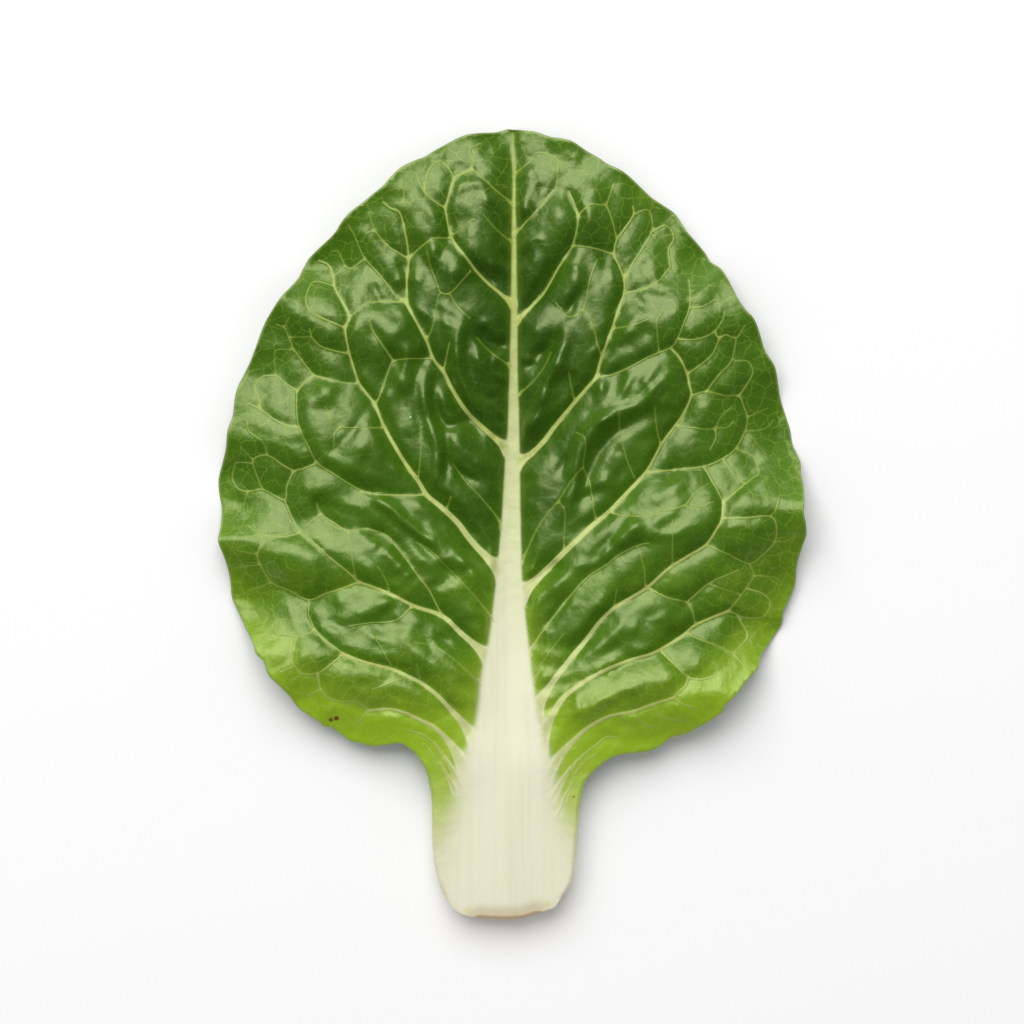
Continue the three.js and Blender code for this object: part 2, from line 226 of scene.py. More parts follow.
# Twigs: the thinnest veins that still show one by one.
TWIG_HALF_WIDTH = (0.13, 0.07)
TWIGS = [
    [(-68.3, 80.6), (-72.1, 78)], [(-70.8, 83.1), (-75.3, 81.2)],
    [(-64.4, 95), (-70.5, 93), (-76, 93), (-78, 94.3)], [(-62.2, 75.4), (-67, 73.1)],
    [(-80.8, 125.6), (-86.2, 129.2)], [(-83.2, 119.6), (-90, 120.9)], [(-82.4, 116.4), (-89.4, 115.3)],
    [(-78.8, 110.3), (-85.3, 107.9), (-87, 107)],
    [(-53.5, 127.3), (-52.9, 122.2), (-51.3, 114.5), (-50.5, 111)],
    [(-62.5, 132.8), (-68, 128.3)], [(-84.9, 150.6), (-88.8, 154.8)],
    [(-80.1, 152.2), (-81.4, 156.4), (-86, 159.8), (-87.2, 163.5)], [(-86.9, 140.3), (-88.5, 136)],
    [(-77.4, 178.2), (-77.9, 185), (-76.6, 187), (-71.8, 186.7)], [(-74.4, 194), (-72.8, 197.4)],
    [(-73, 191), (-69.2, 191), (-66, 191)],
    [(-42.5, 161.2), (-48.7, 161.2), (-55.8, 161.5), (-59, 165), (-61, 168)],
    [(-55.8, 161.5), (-57.7, 159), (-58, 155)], [(-30.4, 145), (-29.8, 151.3), (-29.5, 161.5)],
    [(-49, 140.3), (-49, 134.6)], [(-19.8, 138.5), (-20.8, 135)], [(-54.8, 214.7), (-58.3, 211.8)],
    [(-44.6, 226), (-47.4, 225), (-49, 222.4)], [(-27.5, 190), (-25.6, 195), (-24, 203.5), (-23.1, 205.4)],
    [(0.5, 222), (-5, 226.5), (-9, 231)], [(-19.9, 223.5), (-16, 227), (-12, 229.5)],
    [(-13.5, 212.4), (-16.7, 208.6), (-20.2, 205.1), (-23.1, 205.4), (-24, 207.3), (-26.3, 213.7),
     (-27.6, 218.8)],
    [(-20.2, 205), (-17.3, 201), (-13.5, 197)], [(-0.6, 181.7), (-3.8, 184), (-7.1, 186.5), (-11.2, 190.7)],
    [(-3.5, 128), (-4.5, 131.4), (-8.3, 136.5), (-14.7, 143.6), (-19.2, 149.4)],
    [(-6.1, 98), (-7.7, 100.4), (-11.5, 105.5), (-16.7, 111), (-23.1, 117.7), (-26.9, 121.2), (-30.8, 123.5)],
    [(-10.3, 76.7), (-12.2, 79.2), (-16.7, 83.7), (-21.8, 87.9), (-25.6, 90.1), (-31.4, 90.8)],
    [(-39.7, 107), (-41, 111.3), (-43.6, 115.8)], [(-39.4, 83.7), (-42.3, 88.8), (-45.5, 94)],
    [(-33, 102), (-36, 99), (-39.7, 97.5), (-45.5, 97.3), (-53.2, 96.2)],
    [(-36, 79), (-40.4, 77.3), (-45.5, 75.5)], [(-29.8, 79.2), (-30.8, 83.7)],
    [(69.9, 151.3), (72.4, 147.4), (76.3, 143.3)], [(84.9, 132.1), (87, 135), (88, 139)],
    [(86.5, 123.8), (90.4, 124), (92.9, 125.4)], [(79.8, 112.6), (86.5, 112.1), (88.8, 110.6)],
    [(72.8, 87.4), (76.3, 83.7)], [(46.2, 70.5), (50, 66.1), (55.4, 65.4)],
    [(40, 68.2), (43.6, 63.8), (47.4, 63.2)],
    [(36, 67.3), (39.7, 62)], [(64.7, 110), (70.5, 108), (74.7, 106.8)],
    [(52.9, 116), (52.7, 122.2), (52.9, 131.2)], [(43.9, 109.4), (43.6, 115), (41.7, 121.2)],
    [(33.7, 102.3), (34.6, 108)], [(58.5, 200.5), (62.2, 200.6), (66.7, 203)],
    [(77.9, 164.7), (82.1, 166.7), (84.9, 168)], [(77.2, 160.4), (80.8, 160.4), (84.6, 161.5), (86.9, 164)],
    [(55.1, 161.8), (59.6, 161.2), (66.3, 161), (69.2, 165), (72.8, 168.3)],
    [(66.8, 161.2), (71.2, 161.5), (73.4, 163.5)], [(67.3, 160), (67.3, 157.7), (65.4, 154)],
    [(33.7, 133), (41, 132.4), (48, 133.3), (56.4, 135.6), (59.6, 139), (64.7, 143)],
    [(56.7, 135.6), (61.5, 135), (66.3, 137)],
    [(27.9, 130.2), (26.9, 136), (25.6, 143.6), (23.7, 148.7), (24.4, 155), (23.7, 158.3), (21.2, 159.7)],
    [(40.4, 145), (37.8, 151.3), (35.9, 159), (35.3, 166)], [(49, 155.8), (47.8, 161.5), (47.1, 168)],
    [(20.8, 170.2), (19.6, 175.6), (18.9, 179.5)],
    [(29.5, 185), (28.2, 189), (26.9, 194.2), (23.7, 199.5), (19.4, 197.5), (16.7, 199.7), (14.7, 202)],
    [(23.7, 199.6), (24.7, 203.5), (25.6, 208.6), (28.2, 216.3)],
    [(48.4, 186.2), (47.8, 191.7), (47.8, 196.2), (50, 199.4)], [(34, 193.8), (39.7, 194.6), (44.9, 196.5)],
    [(17.2, 121), (17.6, 128.6), (17.6, 134), (15.4, 137.2)],
    [(2.9, 172.4), (7.7, 177), (10.9, 181.4), (13.1, 186)],
    [(3.8, 117), (6.4, 123.5), (9.6, 130), (15.4, 137.2), (18.6, 142.3), (23.5, 148.5)],
    [(7.7, 78), (10.9, 85), (17, 93.3)],
]

# Folds in the blade between its veins: height (minus for a crease), half-width, length of its cross
# wrinkles or 0, and the fold's line.
FOLDS = [
    (2.8, 2.3, 0, [(-15.5, 197), (-18, 188), (-17, 178), (-12.5, 169), (-7, 160)]),
    (-2.0, 1.6, 0, [(-25, 177), (-25, 169), (-21, 162), (-14, 164)]),
    (-1.3, 1.3, 0, [(-21.5, 161), (-21, 153), (-22, 144)]),
    (1.6, 1.8, 0, [(-30, 176), (-27.5, 165), (-24, 154), (-24.5, 144)]),
    (-2.4, 2.0, 0, [(-2, 187.5), (-8, 190), (-11.5, 196)]),
    (-1.0, 1.4, 0, [(-5, 209), (-9, 213)]),
    (-0.9, 1.2, 0, [(-22.5, 217), (-23.5, 219)]),
    (1.4, 2.8, 7, [(-8, 148), (-13, 152), (-20, 158)]),
    (-1.2, 1.5, 0, [(-9, 143), (-16, 146), (-22, 151)]),
    (2.2, 2.0, 0, [(-48, 139), (-40.5, 136), (-35, 130), (-26, 124)]),
    (1.3, 2.2, 4, [(-52, 127), (-43, 122.5), (-36, 115.5), (-30, 108)]),
    (-1.2, 1.6, 0, [(-40, 133), (-30, 124), (-22, 115)]),
    (1.3, 2.2, 5, [(-24, 122.5), (-19, 121), (-14, 115), (-10, 107)]),
    (1.1, 3.0, 8, [(-42, 170), (-36, 178), (-33, 190)]),
    (-0.9, 1.6, 0, [(-30, 166), (-31, 176), (-29, 186)]),
    (1.0, 3.5, 0, [(-66, 168), (-56, 178)]),
    (1.0, 3.5, 9, [(-72, 134), (-56, 146)]),
    (1.0, 3.2, 8, [(-53, 146), (-46, 160)]),
    (-0.8, 1.5, 0, [(-60, 152), (-52, 160), (-46, 170)]),
    (1.0, 3.5, 8, [(-22, 203), (-13, 222)]),
    (1.0, 3.6, 0, [(-46, 184), (-31, 200)]),
    (1.1, 3.2, 8, [(-58, 96), (-37, 105), (-27, 97)]),
    (0.9, 3.0, 8, [(-38, 94), (-28, 86), (-20, 79)]),
    (2.4, 2.4, 0, [(16, 131), (20.5, 142), (22, 152), (26, 160.5), (34, 165.5), (42, 169), (50, 176)]),
    (-1.6, 2.2, 0, [(23, 139), (27.5, 151), (34, 159), (45, 166)]),
    (0.9, 1.2, 0, [(39.5, 171.5), (47.5, 180.5)]),
    (0.8, 1.1, 0, [(43.5, 171.5), (52, 178.5)]),
    (0.9, 1.2, 0, [(34.7, 169.5), (39.4, 177.5)]),
    (0.8, 1.3, 0, [(28.6, 169.5), (30, 176.5)]),
    (-2.6, 2.4, 0, [(5, 180), (9, 185), (13, 190)]),
    (-1.9, 2.2, 0, [(5, 200), (10, 207), (15, 217)]),
    (-1.4, 1.6, 0, [(15, 146), (19, 151)]),
    (2.1, 2.3, 0, [(6, 162), (11, 174), (15.5, 184), (18.5, 197)]),
    (1.1, 2.8, 5, [(19, 203), (21, 210), (23, 220)]),
    (1.0, 3.2, 0, [(24, 222), (27, 232), (26, 245)]),
    (1.0, 3.0, 8, [(3, 229), (5, 240), (5, 252)]),
    (-1.0, 1.2, 0, [(9.5, 239), (10.5, 241)]),
    (0.9, 1.1, 0, [(4.5, 219), (6, 222.5), (9, 223.5), (10.5, 221)]),
    (1.0, 3.5, 0, [(-10, 232), (-5, 251)]),
    (1.1, 3.0, 7, [(36, 192), (42, 196), (48, 197)]),
    (-0.8, 1.3, 0, [(48.5, 205), (49.5, 207)]),
    (-0.8, 1.3, 0, [(43.5, 214), (44.5, 216)]),
    (1.1, 3.2, 8, [(45, 137), (61, 146)]),
    (1.2, 2.8, 7, [(30, 118), (36, 124), (43, 132)]),
    (-1.0, 1.6, 0, [(25, 117), (32, 124), (38, 132)]),
    (1.2, 2.6, 8, [(14, 116), (20, 122), (26, 128)]),
    (0.7, 3.2, 9, [(46, 76), (58, 84), (70, 92)]),
    (1.0, 1.7, 0, [(21, 66), (31, 72.5), (42, 77)]),
    (1.3, 2.2, 5, [(21, 75), (31, 82.5), (44, 88)]),
    (1.0, 3.0, 8, [(26, 88), (35, 94), (48, 99)]),
    (0.9, 2.6, 8, [(20, 92), (26, 100), (33, 108)]),
    (1.0, 3.6, 0, [(74, 140), (92, 150)]),
    (1.0, 3.6, 0, [(58, 202), (71, 214)]),
    (1.5, 8.0, 0, [(-22, 219), (-12, 216), (-2, 216)]),
    (1.3, 7.0, 0, [(9, 231), (20, 230), (33, 236)]),
]


def spline(points, spacing):
    """Evenly spaced points along a smooth curve through the given ones."""
    given = np.array(points, float)
    if len(given) < 3:
        given = np.array([given[0], given.mean(axis=0), given[-1]])
    ends = np.vstack([2 * given[0] - given[1], given, 2 * given[-1] - given[-2]])
    steps = np.linspace(0, 1, 8, endpoint=False)[:, None]
    fine = []
    for p0, p1, p2, p3 in zip(ends, ends[1:], ends[2:], ends[3:]):
        fine.append(0.5 * (2 * p1 + (p2 - p0) * steps + (2 * p0 - 5 * p1 + 4 * p2 - p3) * steps**2
                           + (3 * p1 - p0 - 3 * p2 + p3) * steps**3))
    fine = np.vstack([*fine, given[-1:]])
    walked = np.concatenate([[0], np.cumsum(np.hypot(*np.diff(fine[:, :2], axis=0).T))])
    stops = np.linspace(0, walked[-1], max(int(round(walked[-1] / spacing)), 1) + 1)
    return np.column_stack([np.interp(stops, walked, column) for column in fine.T])


def smoothstep(low, high, value):
    """From 0 at low to 1 at high, eased at both ends. With low above high, it falls instead."""
    share = np.clip((value - low) / (high - low), 0, 1)
    return share * share * (3 - 2 * share)


def read_off(stops, value):
    """The amount at a value, on straight lines between stops of value and amount."""
    return np.interp(value, *zip(*stops))


# ---------------------------------------------------------------------------------------------
# From the plan to a mesh


def distance_to_line(places, line):
    """Distance from each place to a line of points, and where along the line, from 0 to 1, it is nearest."""
    best = np.full(len(places), np.inf)
    along = np.zeros(len(places))
    for k, (a, b) in enumerate(zip(line, line[1:])):
        step = b - a
        share = np.clip((places - a) @ step / max(step @ step, 1e-9), 0, 1)
        gap = np.hypot(*(places - a - share[:, None] * step).T)
        nearer = gap < best
        best[nearer] = gap[nearer]
        along[nearer] = (k + share[nearer]) / (len(line) - 1)
    return best, along


def inside(places, outline):
    """Whether each place lies inside the closed outline."""
    crossings = np.zeros(len(places), int)
    x, y = places.T
    for (x0, y0), (x1, y1) in zip(outline, np.roll(outline, -1, axis=0)):
        if y0 == y1:
            continue
        spans = (y0 > y) != (y1 > y)
        crossings += spans & (x < x0 + (y - y0) * (x1 - x0) / (y1 - y0))
    return crossings % 2 == 1


VEIN_STEP = 1.0
VEIN_TAPER = 2.2  # veins narrow fast at first and then slowly
FLARE = 0.4  # how much wider a vein is where it leaves its parent, as a share of its half-width
FLARE_REACH = 2.2
WEB_REACH = 1.7  # how far the webs between joining veins reach, as a share of the vein's half-width
SIDE_VEIN_SCALE = 0.8
SIDE_VEIN_ROOT = 0.6  # how far the side veins reach into the midrib, as a share of its half-width
DEEPEST_ROOT = 3.0
GRID_STEP = 1.0
FILL_CLEARANCE = 0.55  # how far the field of points stays off the lines, as a share of its step
MERGE_WITHIN = 0.42


class Vein:
    """One vein's route and its half-width at each end."""

    def __init__(self, points, start, end, rank):
        self.route = spline(points, VEIN_STEP)
        self.start = start
        self.end = end
        self.rank = rank

    def half_width(self, along):
        flare = self.start * np.exp(-along * len(self.route) * VEIN_STEP / (FLARE_REACH * self.start))
        return self.end + (self.start - self.end) * (1 - along) ** VEIN_TAPER + FLARE * flare


def leaf_veins():
    veins = []
    for start, end, points in SIDE_VEINS_LEFT + SIDE_VEINS_RIGHT:
        first, second = np.array(points[:2], float)
        reach = SIDE_VEIN_ROOT * np.interp(first[1], *np.array(MIDRIB)[:, [0, 2]].T)
        root = first - (second - first) / np.hypot(*(second - first)) * min(reach, DEEPEST_ROOT)
        veins.append(Vein([root, *points], SIDE_VEIN_SCALE * start, end, "side"))
    veins += [Vein(points, *BRANCH_HALF_WIDTH, "branch") for points in BRANCHES]
    veins += [Vein(points, *TWIG_HALF_WIDTH, "twig") for points in TWIGS]
    return veins


def leaf_outline():
    """The margin, anticlockwise from the cut end."""
    left = spline(MARGIN_LEFT, GRID_STEP)
    right = spline(MARGIN_RIGHT, GRID_STEP)
    return np.vstack([right, left[:0:-1]])


class PlanMesh:
    """A flat triangle mesh of the leaf's plan, with an edge along every vein."""

    def __init__(self, outline, veins):
        self.points = []
        self.cells = {}
        self.edges = []
        ring = [self.add(p) for p in outline]
        self.edges += list(zip(ring, ring[1:] + ring[:1]))
        for line in [spline([(x, y) for y, x, _ in MIDRIB], VEIN_STEP)] + [v.route for v in veins]:
            chain = [self.add(p) for p in line]
            self.edges += [(a, b) for a, b in zip(chain, chain[1:]) if a != b]
        self.fill(outline)
        made = delaunay_2d_cdt([Vector(p) for p in self.points], self.edges, [], 0, 1e-4)
        self.places = np.array([tuple(p) for p in made[0]])
        faces = np.array([tuple(f) for f in made[2]])
        middles = self.places[faces].mean(axis=1)
        self.faces = faces[inside(middles, outline)]
        used = np.unique(self.faces)
        self.places = self.places[used]
        self.faces = np.searchsorted(used, self.faces)

    def add(self, place):
        """The index of a point at this place, or of one already standing very near it."""
        column, row = (int(np.floor(c / MERGE_WITHIN)) for c in place)
        for near in [(column + i, row + j) for i in (-1, 0, 1) for j in (-1, 0, 1)]:
            for k in self.cells.get(near, ()):
                if np.hypot(*(self.points[k] - place)) < MERGE_WITHIN:
                    return k
        self.cells.setdefault((column, row), []).append(len(self.points))
        self.points.append(np.array(place))
        return len(self.points) - 1

    def fill(self, outline):
        """Adds an even field of points between the lines."""
        low, high = outline.min(axis=0), outline.max(axis=0)
        row_step = GRID_STEP * np.sqrt(3) / 2
        rows = np.arange(low[1], high[1], row_step)
        columns = np.arange(low[0], high[0], GRID_STEP)
        field = np.array([(x + GRID_STEP / 2 * (k % 2), y) for k, y in enumerate(rows) for x in columns])
        field = field[inside(field, outline)]
        reach = GRID_STEP * FILL_CLEARANCE
        taken = np.array(self.points)
        keys = {}
        for k, (x, y) in enumerate(taken):
            keys.setdefault((int(x // 1), int(y // 1)), []).append(k)
        for x, y in field:
            column, row = int(x // 1), int(y // 1)
            near = [k for i in (-1, 0, 1) for j in (-1, 0, 1) for k in keys.get((column + i, row + j), ())]
            if not near or np.hypot(*(taken[near] - (x, y)).T).min() > reach:
                self.points.append(np.array((x, y)))


class Relief:
    """Heights over the leaf's plan, in millimetres, on an even square raster."""

    STEP = 0.5
    EDGE = 8.0  # how far the raster goes on past the outline

    def __init__(self, outline):
        self.low = np.floor(outline.min(axis=0)) - self.EDGE
        size = np.ceil((outline.max(axis=0) + self.EDGE - self.low) / self.STEP).astype(int)
        self.heights = np.zeros(size)

    def window(self, line, reach):
        """The part of the raster within reach of a line: its slices and its places."""
        low = np.floor((line.min(axis=0) - reach - self.low) / self.STEP).astype(int)
        high = np.ceil((line.max(axis=0) + reach - self.low) / self.STEP).astype(int)
        low = np.clip(low, 0, None)
        high = np.minimum(high, self.heights.shape)
        part = np.s_[low[0]:high[0], low[1]:high[1]]
        columns = self.low[0] + self.STEP * np.arange(low[0], high[0])
        rows = self.low[1] + self.STEP * np.arange(low[1], high[1])
        places = np.stack(np.meshgrid(columns, rows, indexing="ij"), axis=-1)
        return part, places.reshape(-1, 2), places.shape[:2]

    def blurred(self, radius):
        """The same heights, averaged over a round spot of this radius in millimetres."""
        reach = int(np.ceil(3 * radius / self.STEP))
        weights = np.exp(-0.5 * (np.arange(-reach, reach + 1) * self.STEP / radius) ** 2)
        weights /= weights.sum()
        heights = np.pad(self.heights, reach, mode="edge")
        for axis in (0, 1):
            heights = np.apply_along_axis(np.convolve, axis, heights, weights, mode="same")
        made = copy.copy(self)
        made.heights = heights[reach:-reach, reach:-reach]
        return made

    def at(self, places):
        """The heights at any places, worked out between the raster's points."""
        spot = (places - self.low) / self.STEP
        spot = np.clip(spot, 0, np.array(self.heights.shape) - 1.001)
        cell = spot.astype(int)
        (u, v), (i, j) = (spot - cell).T, cell.T
        h = self.heights
        return ((1 - u) * ((1 - v) * h[i, j] + v * h[i, j + 1])
                + u * ((1 - v) * h[i + 1, j] + v * h[i + 1, j + 1]))


def frame_relief(outline):
    """The heights of the frame's upper and lower faces, in millimetres, carried on past its margin."""
    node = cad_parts["collard_leaf"]
    tree = BVHTree.FromObject(node, bpy.context.evaluated_depsgraph_get())
    upper, lower = Relief(outline), Relief(outline)
    _, places, shape = upper.window(outline, upper.EDGE)
    above, below = LEAF_BOX[1].z + 1, LEAF_BOX[0].z - 1
    tops, bottoms = [], []
    for x, y in to_frame(places):
        hit = tree.ray_cast((x, y, above), (0, 0, -1))[0]
        tops.append(hit.z / MM if hit else np.nan)
        hit = tree.ray_cast((x, y, below), (0, 0, 1))[0] if hit else None
        bottoms.append(hit.z / MM if hit else np.nan)
    for relief, heights in ((upper, tops), (lower, bottoms)):
        relief.heights = np.array(heights).reshape(shape)
        spread_outwards(relief.heights)
    return upper, lower


def spread_outwards(heights):
    """Fills the empty cells of a raster from their nearest filled neighbours."""
    while np.isnan(heights).any():
        padded = np.pad(heights, 1, constant_values=np.nan)
        around = np.stack([padded[:-2, 1:-1], padded[2:, 1:-1], padded[1:-1, :-2], padded[1:-1, 2:]])
        filled = ~np.isnan(around)
        total = np.where(filled, around, 0).sum(axis=0)
        count = filled.sum(axis=0)
        empty = np.isnan(heights) & (count > 0)
        heights[empty] = total[empty] / count[empty]


def to_frame(places):
    """Leaf millimetres to the frame's metres."""
    return places * MM + ORIGIN


# ---------------------------------------------------------------------------------------------
# The leaf's settings


class LeafSettings(bpy.types.PropertyGroup):
    """What the leaf is built from"""

    blade_thickness: bpy.props.FloatProperty(
        name="Blade Thickness", description="Thickness of the blade between its veins, in millimetres",
        default=0.8, min=0.3, max=3.0)
    pillow_height: bpy.props.FloatProperty(
        name="Pillow Height", description="How high the blade swells between its veins, in millimetres",
        default=9.0, min=0.0, max=16.0)
    blister_height: bpy.props.FloatProperty(
        name="Blister Height", description="Height of the uneven swellings of the blade, in millimetres",
        default=0.72, min=0.0, max=2.0)
    margin_ruffle: bpy.props.FloatProperty(
        name="Margin Ruffle", description="Height of the short waves along the margin, in millimetres",
        default=0.8, min=0.0, max=3.0)
    dark_green: bpy.props.FloatVectorProperty(
        name="Dark Green", description="Skin between the veins in the middle of the blade",
        subtype="COLOR", size=4, default=(0.012, 0.06, 0.001, 1), min=0, max=1)
    mid_green: bpy.props.FloatVectorProperty(
        name="Mid Green", description="Skin towards the margin",
        subtype="COLOR", size=4, default=(0.062, 0.172, 0.001, 1), min=0, max=1)
    young_green: bpy.props.FloatVectorProperty(
        name="Young Green", description="Skin of the lower lobes and the wings of the stalk",
        subtype="COLOR", size=4, default=(0.28, 0.46, 0.006, 1), min=0, max=1)
    vein_green: bpy.props.FloatVectorProperty(
        name="Vein Green", description="The thinnest veins",
        subtype="COLOR", size=4, default=(0.20, 0.31, 0.022, 1), min=0, max=1)
    vein_cream: bpy.props.FloatVectorProperty(
        name="Vein Cream", description="The midrib and the broad ends of the side veins",
        subtype="COLOR", size=4, default=(0.68, 0.70, 0.43, 1), min=0, max=1)
    wing_green: bpy.props.FloatVectorProperty(
        name="Wing Green", description="Where the green of the blade fades into the stalk",
        subtype="COLOR", size=4, default=(0.47, 0.56, 0.13, 1), min=0, max=1)
    stalk_cream: bpy.props.FloatVectorProperty(
        name="Stalk Cream", description="The fleshy stalk",
        subtype="COLOR", size=4, default=(0.79, 0.78, 0.615, 1), min=0, max=1)
    underside_green: bpy.props.FloatVectorProperty(
        name="Underside Green", description="Bloom over the blade's lower face",
        subtype="COLOR", size=4, default=(0.17, 0.26, 0.09, 1), min=0, max=1)
    cut_tan: bpy.props.FloatVectorProperty(
        name="Cut Tan", description="The dried rim of the cut",
        subtype="COLOR", size=4, default=(0.72, 0.55, 0.33, 1), min=0, max=1)


class StageSettings(bpy.types.PropertyGroup):
    """What the floor, the light and the camera are built from"""

    camera_height: bpy.props.FloatProperty(
        name="Camera Height", description="Height of the camera above the floor",
        default=1.2, min=0.3, max=5.0, unit="LENGTH")
    view_width: bpy.props.FloatProperty(
        name="View Width", description="Width of the picture at the leaf",
        default=0.337, min=0.1, max=2.0, unit="LENGTH")
    key_power: bpy.props.FloatProperty(
        name="Key Light", description="Power of the large soft light beyond the tip",
        default=67.0, min=0.0, unit="POWER")
    fill_strength: bpy.props.FloatProperty(
        name="Fill", description="Strength of the even light from all round", default=0.41, min=0.0)
    floor_colour: bpy.props.FloatVectorProperty(
        name="Floor", description="Colour of the floor", subtype="COLOR", size=4,
        default=(0.94, 0.94, 0.94, 1), min=0, max=1)


# ---------------------------------------------------------------------------------------------
# The leaf's heights and the values that its material reads


STALK_END = 56.0  # where the stalk has narrowed to the midrib
MIDRIB_FIBRES_END = 150.0  # where the midrib no longer looks like the stalk
STALK_PALE = [  # the pale core of the stalk: height, middle, half-width
    (0, -1, 24), (12, -1, 21.5), (22, -1.2, 19), (32, -1.4, 16.5), (42, -1.6, 14.5), (50, -1.5, 13.8),
]
# A list of pairs gives the amount at each height on the leaf, unless its comment says otherwise.
PALE_SOFTNESS = [(35, 14.0), (50, 8.0), (64, 3.2), (100, 1.3)]  # millimetres that the pale band fades over
MIDRIB_TONE = [(0, 1.0), (110, 0.95), (160, 0.75), (200, 0.5), (245, 0.25)]
TONE_OF_WIDTH = [(0.1, 0.05), (0.2, 0.25), (0.5, 0.45), (1.0, 0.62), (1.6, 0.95)]  # by half-width of the vein
TONE_OF_ROOT = [(60, 1.15), (110, 0.95), (230, 0.75)]  # by height of the vein's root
WING_PALENESS = [(4, 0.9), (20, 0.78), (28, 0.62), (36, 0.42), (44, 0.24), (50, 0.09), (58, 0.0)]
HOLD = {"side": 8.0, "branch": 1.6, "twig": 0.25}  # how firmly each rank of vein holds the blade down
HOLD_WIDTH = 0.5
NEAR_VEIN = 9.0  # nothing farther than this from a vein's box can see it
MIDRIB_EDGE = 0.4  # the distance outside the pale band, in shares of its softness, is scaled by this
SWELL_REACH = 9.0  # cells wider than this swell no higher
SWELL_ROUNDNESS = 0.6
SWELL_ROUNDS = 500
FOLD_STRENGTH = 1.3
PILLOW_BLUR = 0.45
FOLD_BLUR = 0.5
PILLOW_SINK = 0.12  # the whole blade is lowered by this share of the pillow height
RIB_HEIGHT = {"side": 0.9, "branch": 0.4, "twig": 0.15}  # how far veins stand out below, in millimetres
YOUTH = [(0, 0.95), (60, 0.95), (75, 0.8), (95, 0.62), (120, 0.48), (155, 0.38), (200, 0.33), (260, 0.45)]
RUFFLE_WAVES = ((17.0, 0.6, 0.3), (27.0, 1.0, 1.9), (44.0, 0.7, 4.1))  # length, share, phase
RUFFLE_REACH = 11.0
CURL_REACH = 15.0
CURL_LEFT = [(60, 1.5), (88, 3), (105, 0), (125, 3.5), (137, -0.3), (150, 0), (165, 1), (187, 4.5), (205, 3),
             (214, 1), (225, 5), (240, 5.5), (248, 4), (256, 1.5)]
CURL_RIGHT = [(60, 1), (75, 3.5), (95, 0), (118, 2), (137, 6), (160, -1.5), (180, 1), (203, 4), (218, 0.5),
              (230, 2), (243, 2), (256, 3)]
BLISTERS = 1500
BLISTER_SEED = 7
CUT_LENGTH = 8.0  # how far the cut runs up the sides of the stalk
CUT_BEVEL = 5.0  # the cut slopes back this far from the end of the stalk
CUT_BEVEL_DROP = 0.9
CUT_MIDDLE = -1.0  # how far the middle of the cut lies from the leaf's own
FRAME_BLUR = 2.6  # the frame's flat facets are smoothed over this radius, and its foot over the next
FOOT_BLUR = 1.2


def pale_band(places):
    """Signed distance outside the pale band of stalk and midrib, and its softness, in millimetres."""
    along, middle, half = np.array(STALK_PALE + MIDRIB, float).T
    y = places[:, 1]
    away = np.abs(places[:, 0] - np.interp(y, along, middle)) - np.interp(y, along, half)
    return away, read_off(PALE_SOFTNESS, y)


def vein_values(places, veins):
    """For each place: distance outside the nearest vein's edge, how pale that vein is, and the rib below."""
    away, softness = pale_band(places)
    edge = away / softness * MIDRIB_EDGE
    tone = read_off(MIDRIB_TONE, places[:, 1])
    rib = np.zeros(len(places))
    for vein in veins:
        low, high = vein.route.min(axis=0) - NEAR_VEIN, vein.route.max(axis=0) + NEAR_VEIN
        near = np.all((places > low) & (places < high), axis=1)
        gap, along = distance_to_line(places[near], vein.route)
        half = vein.half_width(along)
        outside = gap - half
        nearer = outside < edge[near]
        web = WEB_REACH * half + 0.3
        blend = np.clip(web - np.abs(outside - edge[near]), 0, None) ** 2 / (4 * web)
        vein_tone = read_off(TONE_OF_WIDTH, half) * read_off(TONE_OF_ROOT, vein.route[0, 1])
        edge[near] = np.minimum(outside, edge[near]) - blend
        tone[near] = np.where(nearer, np.clip(vein_tone, 0, 1), tone[near])
        raised = RIB_HEIGHT[vein.rank] * (1 - 0.6 * along) * np.exp(-(gap / (half + 0.5)) ** 2)
        rib[near] = np.maximum(rib[near], raised)
    return edge, tone, rib


def pillow_relief(outline, veins, height):
    """The blade between its veins, swollen like a skin that the veins hold down: domes with steep sides."""
    relief = Relief(outline)
    hold = relief.heights
    for vein in veins:
        part, places, shape = relief.window(vein.route, 4)
        gap, along = distance_to_line(places, vein.route)
        grip = np.exp(-(gap / (vein.half_width(along) + HOLD_WIDTH)) ** 2)
        firm = HOLD[vein.rank] * (1 - 0.3 * along) * grip
        hold[part] = np.maximum(hold[part], firm.reshape(shape))
    part, places, shape = relief.window(outline, Relief.EDGE)
    away, _ = pale_band(places)
    hold[part] = np.maximum(hold[part], (HOLD["side"] * smoothstep(1.5, 0.0, away)).reshape(shape))
    swell = np.zeros_like(hold)
    firmness = 4 + relief.STEP**2 * (hold + 1 / SWELL_REACH**2)
    for _ in range(SWELL_ROUNDS):
        around = np.pad(swell, 1, mode="edge")
        around = around[:-2, 1:-1] + around[2:, 1:-1] + around[1:-1, :-2] + around[1:-1, 2:]
        swell = (around + relief.STEP**2) / firmness
    relief.heights = height * swell**SWELL_ROUNDNESS / SWELL_REACH ** (2 * SWELL_ROUNDNESS)
    x, y = places.T
    in_blade = smoothstep(44, 70, y + 0.5 * np.clip(np.abs(x) - 20, 0, 30)).reshape(shape)
    relief.heights[part] *= in_blade
    return relief.blurred(PILLOW_BLUR)


